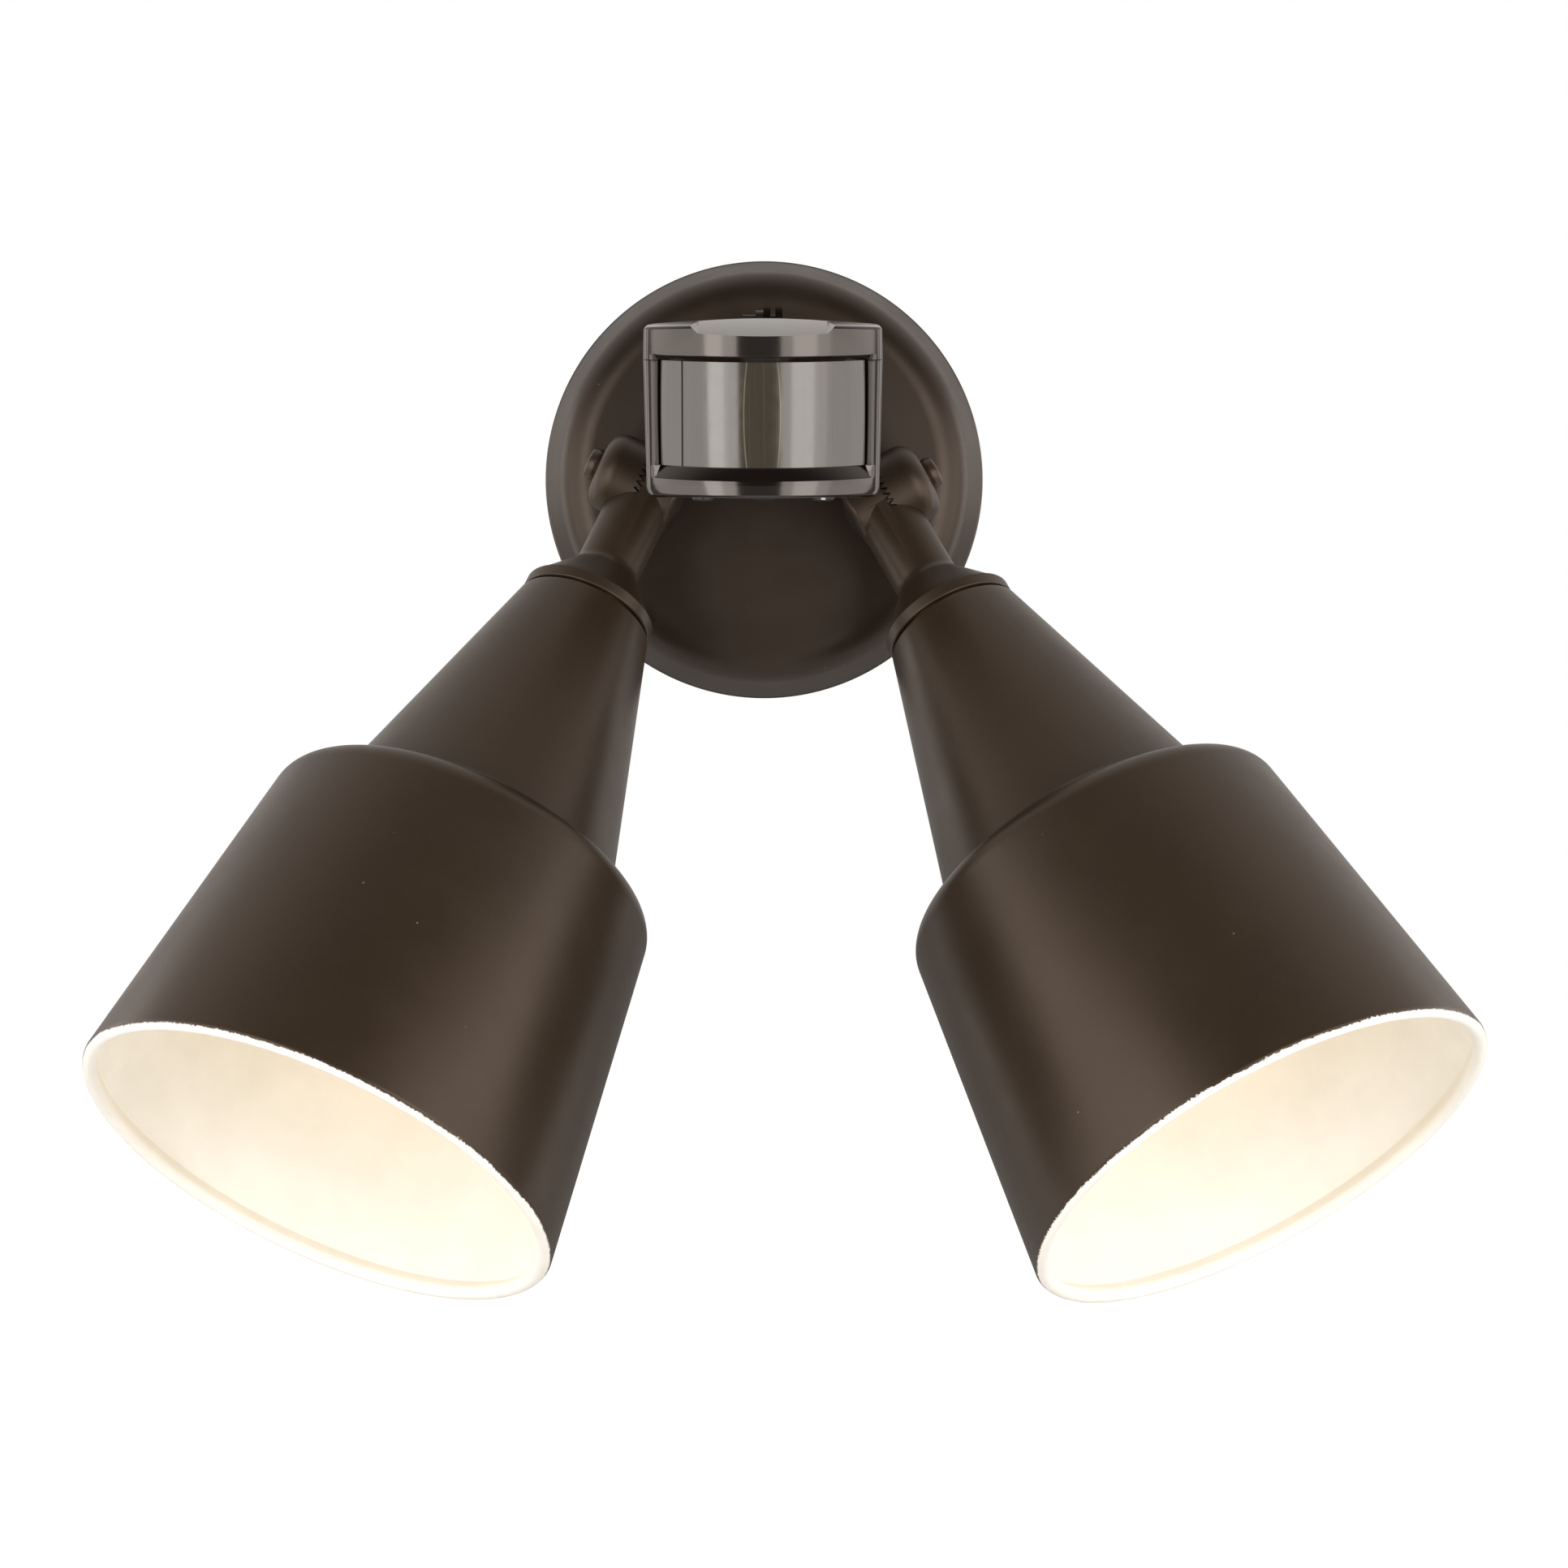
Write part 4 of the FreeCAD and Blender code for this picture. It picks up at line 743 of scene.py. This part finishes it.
def make_arm(side):
    """The moving half: toothed tongue, tube with a hollowed shoulder, flared cap."""
    base = arm_frame(side)
    tube_radius = 9.05
    overlap = 0.9       # of the tongue with the tube, so that they join
    room = 0.45         # round the hub
    tube = lathe(side + "_arm_casting", rounded(
        [(0, 1.5), (tube_radius, 1.5), (tube_radius, 30.6), (17.5, 41.2), (18.2, 42.1),
         (19.0, 42.6), (19.0, ARM_LENGTH), (6.0, ARM_LENGTH), (0, ARM_LENGTH)],
        {2: 4.5, 3: 1.2, 5: 0.4, 6: 0.5}, steps=8), base, 144)
    lap_x = ARM_OFFSET + LAP
    clear = lathe("clear", [(0, lap_x - overlap), (HUB_RADIUS + room, lap_x - overlap),
                            (HUB_RADIUS + room, 30.0), (0, 30.0)], base @ TO_X, 160)
    boolean(tube, clear, "DIFFERENCE")
    lap = base @ Matrix.Translation((lap_x, 0, 0)) @ TO_X
    tongue = toothed_disc("tongue", 10.4, lap, -tube_radius - lap_x, 1.4)
    boolean(tube, tongue, "UNION")
    clean(tube)
    finish_piece(tube, bronze, side + "_lamp", [side + "_lamp_arm"], 32.0)


for side in SIGN:
    make_knuckle(side)
    make_bolt(side)
    make_arm(side)

# ------------------------------------------------------------------ sensor head

# lengths in the head's frame, whose origin is the ball's centre and whose front is towards -Y
HALF = 32.7             # half the width
SIDE_FRONT = 43.5       # where the sides meet the bowed front
SIDE_BACK = 33.0        # where the sides meet the slanted cheeks
FRONT = 58.0            # the middle of the bow
TOP = 12.8              # the top's highest line
RIDGE = -32.0           # where that line lies
CROWN = 1.7             # how far the top falls from its middle to its sides
SPLIT = 2.2             # the parting line of cover and body
BOTTOM = -34.1
WINDOW_LOW = -26.4      # the window's lower edge
SILL = -29.7            # the foot of the sloping sill below it
POST = 29.8             # where the posts beside the window begin
LOW_ROUND = 2.4         # the rounding of the sides at the bottom
SAG = FRONT - SIDE_FRONT
BOW = (HALF * HALF + SAG * SAG) / (2 * SAG)
BOW_CENTRE = BOW - FRONT


def head_plan(corner=1.5, steps=120):
    """Points of the head's plan, anticlockwise from the left back, and their normals."""
    bow = []
    end = math.asin(HALF / BOW)
    for k in range(steps + 1):
        a = -end + 2 * end * k / steps
        bow.append(Vector((BOW * math.sin(a), BOW_CENTRE - BOW * math.cos(a))))
    raw = [Vector((-15, -12)), Vector((-HALF, -SIDE_BACK))] + bow + \
          [Vector((HALF, -SIDE_BACK)), Vector((15, -12))]
    last = len(raw) - 3
    chord = 8       # points of the bow passed over for its direction at a corner
    cuts = {0: 3.0, 1: 3.0, 2: corner, last: corner, last + 1: 3.0, last + 2: 3.0}
    points = []
    for i, p in enumerate(raw):
        if i not in cuts:
            if min((p - raw[2]).length, (p - raw[last]).length) > corner:
                points.append(p)
            continue
        before, after = raw[i - 1], raw[(i + 1) % len(raw)]
        if i == 2:
            after = raw[2 + chord]
        if i == last:
            before = raw[last - chord]
        a = p + (before - p).normalized() * cuts[i]
        b = p + (after - p).normalized() * cuts[i]
        for k in range(13):
            t = k / 12
            points.append(a * (1 - t) ** 2 + p * 2 * t * (1 - t) + b * t ** 2)
    normals = []
    for i, p in enumerate(points):
        d = (points[(i + 1) % len(points)] - points[i - 1]).normalized()
        normals.append(Vector((d.y, -d.x)))
    return points, normals


PLAN, NORMALS = head_plan()


def bow_share(x, y):
    """1 on the bowed front between the posts, falling steeply to 0 at them."""
    if y > -SIDE_FRONT - 1.0:
        return 0.0
    return min(1.0, max(0.0, (POST + 0.4 - abs(x)) / 0.4))


def taper(z):
    """How far the sides draw in above and below the parting line; rounded at the bottom."""
    if z >= SPLIT:
        return 0.2 * (z - SPLIT) / (TOP - SPLIT)
    rest = min(1.0, max(0.0, 1 - (z - BOTTOM) / LOW_ROUND))
    return 0.75 * (SPLIT - z) / (SPLIT - BOTTOM) + LOW_ROUND * (1 - math.sqrt(1 - rest * rest))


def top_height(x, y):
    """The cover's top: a ridge across the head, lower at the front, back and sides."""
    ahead = (RIDGE - y) / 25.0
    fall = 0.3 * ahead ** 2 if ahead > 0 else 1.9 * ahead ** 2
    return TOP - fall - CROWN * (x / HALF) ** 2


def skirt(y, z):
    """How far the body's foot hangs lower than BOTTOM behind its bowed front."""
    share = min(1.0, max(0.0, (SILL - z) / (SILL - BOTTOM)))
    return min(1.3, 0.09 * (FRONT + y)) * share


def head_shell(name, levels, crowned=False):
    """A closed skin from levels of (height, inset all round, further inset of the window)."""
    verts = []
    rings = []
    for z, inset, window in levels:
        ring = []
        for p, q in zip(PLAN, NORMALS):
            d = inset + window * (bow_share(p.x, p.y) if window else 0.0)
            side = taper(z) * abs(q.x)
            x, y = p.x - q.x * (d + side), p.y - q.y * d
            drop = TOP - top_height(x, y) if crowned else 0.0
            share = max(0.0, (z - SPLIT - 2.0) / (TOP - SPLIT - 2.0))
            ring.append(len(verts))
            verts.append((x, y, z - drop * share - (skirt(y, z) if inset < 2.0 else 0.0)))
        rings.append(ring)
    faces = []
    count = len(PLAN)
    for one, two in zip(rings, rings[1:]):
        for k in range(count):
            n = (k + 1) % count
            faces.append((one[k], one[n], two[n], two[k]))
    faces.append(tuple(reversed(rings[0])))
    faces += cap_faces(verts, rings[-1], crowned)
    return from_lists(name, verts, faces, HEAD)


def cap_faces(verts, ring, crowned):
    """The face inside a ring; a crowned one is filled by smaller rings on the top's form."""
    if not crowned:
        return [tuple(ring)]
    count = len(ring)
    faces = []
    outer = ring
    edge = [verts[i] for i in ring]
    middle = (min(v[1] for v in edge) + max(v[1] for v in edge)) / 2
    rest = [v[2] - top_height(v[0], v[1]) for v in edge]
    rows = 16
    for row in range(1, rows):
        share = 1 - row / rows
        inner = []
        for (x, y, _), lift in zip(edge, rest):
            px, py = x * share, middle + (y - middle) * share
            inner.append(len(verts))
            verts.append((px, py, top_height(px, py) + lift * share))
        for k in range(count):
            n = (k + 1) % count
            faces.append((outer[k], outer[n], inner[n], inner[k]))
        outer = inner
    centre = len(verts)
    verts.append((0.0, middle, top_height(0.0, middle)))
    return faces + [(outer[k], outer[(k + 1) % count], centre) for k in range(count)]


def corner_levels(z, direction, radius, steps=6):
    """Levels that round an edge, from the flat face at z towards the wall."""
    out = []
    for k in range(steps + 1):
        a = math.radians(90 * k / steps)
        out.append((z + direction * radius * (1 - math.cos(a)), radius * (1 - math.sin(a)), 0.0))
    return out


def make_body():
    """The body: a foot, a sill sloping up to the window, and the window's deep pocket."""
    pocket = 8.0
    levels = [(BOTTOM, 4.0, 0.0)] + corner_levels(BOTTOM, 1, 0.5)
    levels += [(BOTTOM + 0.5 + 0.19 * k, 0.0, 0.0) for k in range(1, 11)]
    levels += [(SILL - 0.25, 0.0, 0.0), (SILL, 0.0, 0.12), (SILL + 0.25, 0.0, 0.3),
               (WINDOW_LOW - 0.25, 0.0, 1.85), (WINDOW_LOW, 0.0, 2.1),
               (WINDOW_LOW, 0.0, pocket), (WINDOW_LOW + 0.6, 0.0, pocket),
               (-10.0, 0.0, pocket), (SPLIT - 0.8, 0.0, pocket), (SPLIT - 0.16, 0.0, pocket),
               (SPLIT - 0.02, 0.16, pocket), (SPLIT - 0.02, 1.5, pocket)]
    body = head_shell("sensor_body_skin", levels)
    finish_piece(body, plastic, "sensor_head", ["sensor_body"], 28.0)


def scoop_height(y):
    """The scooped panel's height along its middle: 5 degrees at the ridge, 9.5 in front."""
    reach = 27.0
    t = (RIDGE + 1.0 - y) / reach
    return TOP - reach * (math.tan(math.radians(5.0)) * t + 0.04 * t * t)


def make_top():
    """The top cover: a crowned cap with a scooped panel cut into it."""
    levels = [(SPLIT, 1.5, 1.9), (SPLIT, 0.16, 1.75), (SPLIT + 0.14, 0.0, 1.6),
              (SPLIT + 1.5, 0.0, 0.14), (SPLIT + 1.62, 0.0, 0.03), (SPLIT + 1.8, 0.0, 0.0),
              (SPLIT + 2.2, 0.0, 0.0)]
    top = corner_levels(TOP, -1, 1.1)
    levels += list(reversed(top)) + [(TOP, 2.4, 0.0)]
    cover = head_shell("sensor_cover_skin", levels, crowned=True)
    rows = [-24.0 - 1.0 * k for k in range(38)]
    half_low = 17.6             # half the panel's width at its foot
    slope = 3.0 / (11.86 - 9.3)     # of its two banks: run over rise
    lift = 4.0                  # how far the cutter reaches above the panel
    columns = [-1.0, -0.96] + [k / 12 for k in range(-11, 12)] + [0.96, 1.0]
    verts = []
    wide = len(columns) + 2
    for y in rows:
        z = scoop_height(y)
        verts.append((-(half_low + slope * lift), y, z + lift))
        for c in columns:
            verts.append((c * half_low, y, z))
        verts.append((half_low + slope * lift, y, z + lift))
    faces = []
    for j in range(len(rows) - 1):
        for k in range(wide - 1):
            a = j * wide + k
            faces.append((a, a + 1, a + wide + 1, a + wide))
        a, b = j * wide, (j + 1) * wide
        faces.append((a, b, b + wide - 1, a + wide - 1))
    faces.append(tuple(range(wide)))
    faces.append(tuple(range((len(rows) - 1) * wide, len(rows) * wide)))
    scoop = from_lists("scoop", verts, faces, HEAD)
    boolean(cover, scoop, "DIFFERENCE")
    clean(cover)
    finish_piece(cover, plastic, "sensor_head", ["sensor_top_cover"], 28.0)


def make_lens():
    """The bowed lens, a plate that curves back slightly above and below its middle."""
    half = 27.9             # half its width
    outer = BOW - 2.2       # its radius, set back from the head's bow
    steps = 140
    end = math.asin(half / outer)
    rows = [-28.2, -25.0, -19.0, -12.0, -5.0, 1.0, 4.0]
    middle = -12.0
    verts = []
    for inner in (0, 1):
        for z in rows:
            sag = 0.25 * ((z - middle) / 15.0) ** 2
            for k in range(steps + 1):
                a = -end + 2 * end * k / steps
                radius = outer - sag - inner
                verts.append((radius * math.sin(a), BOW_CENTRE - radius * math.cos(a), z))
    faces = []
    width = steps + 1
    layer = width * len(rows)
    for j in range(len(rows) - 1):
        for k in range(steps):
            a = j * width + k
            faces.append((a, a + 1, a + width + 1, a + width))
            b = a + layer
            faces.append((b, b + width, b + width + 1, b + 1))
    for k in range(steps):
        faces.append((k, k + layer, k + 1 + layer, k + 1))
        a = (len(rows) - 1) * width + k
        faces.append((a, a + 1, a + 1 + layer, a + layer))
    for j in range(len(rows) - 1):
        a = j * width
        faces.append((a, a + width, a + width + layer, a + layer))
        b = a + steps
        faces.append((b, b + layer, b + width + layer, b + width))
    lens = from_lists("sensor_lens_skin", verts, faces, HEAD)
    finish_piece(lens, lens_mat, "sensor_head", ["sensor_lens"], 30.0)


def make_panel():
    """The control panel: a thin plate under the head, its edge bevelled."""
    low = BOTTOM - 0.9
    levels = [(low, 6.8, 0.0), (low, 5.6, 0.0), (low + 0.3, 5.2, 0.0), (BOTTOM - 0.02, 5.0, 0.0)]
    panel = head_shell("control_panel_skin", levels)
    finish_piece(panel, dark_plastic, "sensor_head", ["control_panel"], 28.0)


def make_pointer():
    """The white pointer at the front of the range knob's foot."""
    pointer = box_mesh("range_pointer", (16.0, -38.6, -36.6), (17.2, -38.0, -36.0), HEAD, 0.1, 2)
    finish_piece(pointer, lamp_white, "range_control", ())


make_body()
make_top()
make_lens()
make_panel()
make_pointer()

# ------------------------------------------------------------------ studio


def white_world():
    """White to the camera; for reflections bright behind, dark in front and below."""
    world = bpy.data.worlds.new("studio")
    bpy.context.scene.world = world
    world.use_nodes = True
    tree = world.node_tree
    tree.nodes.clear()
    faint_warm = (1.0, 0.95, 0.91, 1.0)

    def join(kind, *sources, **values):
        """A node's first output; its inputs are linked to the sources, in their order."""
        node = tree.nodes.new(kind)
        for key, value in values.items():
            setattr(node, key, value)
        for socket, source in zip(node.inputs, sources):
            if isinstance(source, (float, tuple)):
                socket.default_value = source
            else:
                tree.links.new(source, socket)
        return node.outputs[0]

    def grade(source, *numbers):
        """A value carried softly from one range to another."""
        return join("ShaderNodeMapRange", source, *numbers, interpolation_type="SMOOTHSTEP")

    coord = tree.nodes.new("ShaderNodeTexCoord")
    split = tree.nodes.new("ShaderNodeSeparateXYZ")
    tree.links.new(coord.outputs["Generated"], split.inputs[0])
    level = join("ShaderNodeMath", grade(split.outputs[1], -0.55, 0.15, 0.06, 0.85),
                 grade(split.outputs[2], -0.7, 0.3, 0.06, 1.0), operation="MULTIPLY")
    path = tree.nodes.new("ShaderNodeLightPath")
    glossy = join("ShaderNodeBackground", faint_warm, level)
    soft = join("ShaderNodeBackground", faint_warm, 0.3)
    white = join("ShaderNodeBackground", (1.0, 1.0, 1.0, 1.0), 1.0)
    reflects = join("ShaderNodeMath", path.outputs["Is Glossy Ray"],
                    path.outputs["Is Transmission Ray"], operation="MAXIMUM")
    unseen = join("ShaderNodeMixShader", reflects, soft, glossy)
    shown = join("ShaderNodeMixShader", path.outputs["Is Camera Ray"], unseen, white)
    out = tree.nodes.new("ShaderNodeOutputWorld")
    tree.links.new(shown, out.inputs[0])


def softbox(name, place, target, width, height, power):
    """A slightly warm rectangular light that faces a target."""
    light = bpy.data.lights.new(name, "AREA")
    light.shape = "RECTANGLE"
    light.size = width
    light.size_y = height
    light.energy = power
    light.color = (1, 0.955, 0.915)
    obj = new_object(name, light)
    obj.location = place
    direction = Vector(target) - Vector(place)
    obj.rotation_euler = direction.to_track_quat("-Z", "Y").to_euler()


def make_floor():
    """A pale floor well below the light; it glows a little to the camera."""
    mesh = bpy.data.meshes.new("floor")
    size = 9.0
    height = -0.62
    mesh.from_pydata([(-size, -size, height), (size, -size, height), (size, size, height),
                      (-size, size, height)], [], [(0, 1, 2, 3)])
    floor = new_object("floor", mesh)
    n = Nodes("floor_pale")
    base = n.mix(n.noise(3.0, 3.0, 0.5), (0.80, 0.80, 0.79), (0.83, 0.83, 0.82))
    n.link(base, n.bsdf.inputs["Base Color"])
    n.set(Roughness=0.7)
    glow = n.add("ShaderNodeEmission")
    glow.inputs[1].default_value = 0.8
    both = n.add("ShaderNodeAddShader")
    n.link(n.bsdf.outputs[0], both.inputs[0])
    n.link(glow.outputs[0], both.inputs[1])
    choose = n.add("ShaderNodeMixShader")
    path = n.add("ShaderNodeLightPath")
    n.link(path.outputs["Is Camera Ray"], choose.inputs[0])
    n.link(n.bsdf.outputs[0], choose.inputs[1])
    n.link(both.outputs[0], choose.inputs[2])
    n.link(choose.outputs[0], n.out.inputs["Surface"])
    mesh.materials.append(n.material)


white_world()
make_floor()

SENSOR_Y = -0.06
DISTANCE = 1.15         # of every softbox from the sensor, m


def panel_light(name, azimuth, width, low, high, radiance):
    """A softbox seen from the sensor between two heights, at an azimuth from the front."""
    angle = math.radians(azimuth)
    middle = (low + high) / 2
    place = (DISTANCE * math.sin(angle), SENSOR_Y - DISTANCE * math.cos(angle), middle)
    softbox(name, place, (0.0, SENSOR_Y, middle), width, high - low,
            radiance * math.pi * width * (high - low))


# the strips of light that the lens and the head mirror, in degrees from the front
for name, start, end, radiance in (
        ("left_inner", -30.0, -19.0, 3.2), ("left_main", -43.0, -30.0, 4.9),
        ("left_wide", -88.0, -43.0, 2.0), ("right_inner", 13.0, 22.0, 2.6),
        ("right_main", 22.0, 40.0, 4.4), ("right_next", 40.0, 50.0, 2.8),
        ("right_wide", 50.0, 88.0, 2.0)):
    width = 2 * DISTANCE * math.tan(math.radians(end - start) / 2)
    panel_light(name, (start + end) / 2, width, -0.48, 0.42, radiance)
panel_light("left_rim", -112.0, 0.5, -0.5, 0.45, 1.7)
panel_light("right_rim", 112.0, 0.5, -0.5, 0.45, 1.7)

# the camera as fitted to the photo: its focal length in pixels, over the photo's width
FOCAL_PIXELS = 5513.0
PHOTO_PIXELS = 1932.0
camera_data = bpy.data.cameras.new("camera")
camera_data.sensor_width = 36.0
camera_data.lens = FOCAL_PIXELS / PHOTO_PIXELS * 36.0
camera = new_object("camera", camera_data)
camera.location = (0.00577, -1.3, -0.0884)
camera.rotation_euler = (math.radians(90.0), 0.0, 0.0)
bpy.context.scene.camera = camera
bpy.context.scene.view_settings.view_transform = "Standard"
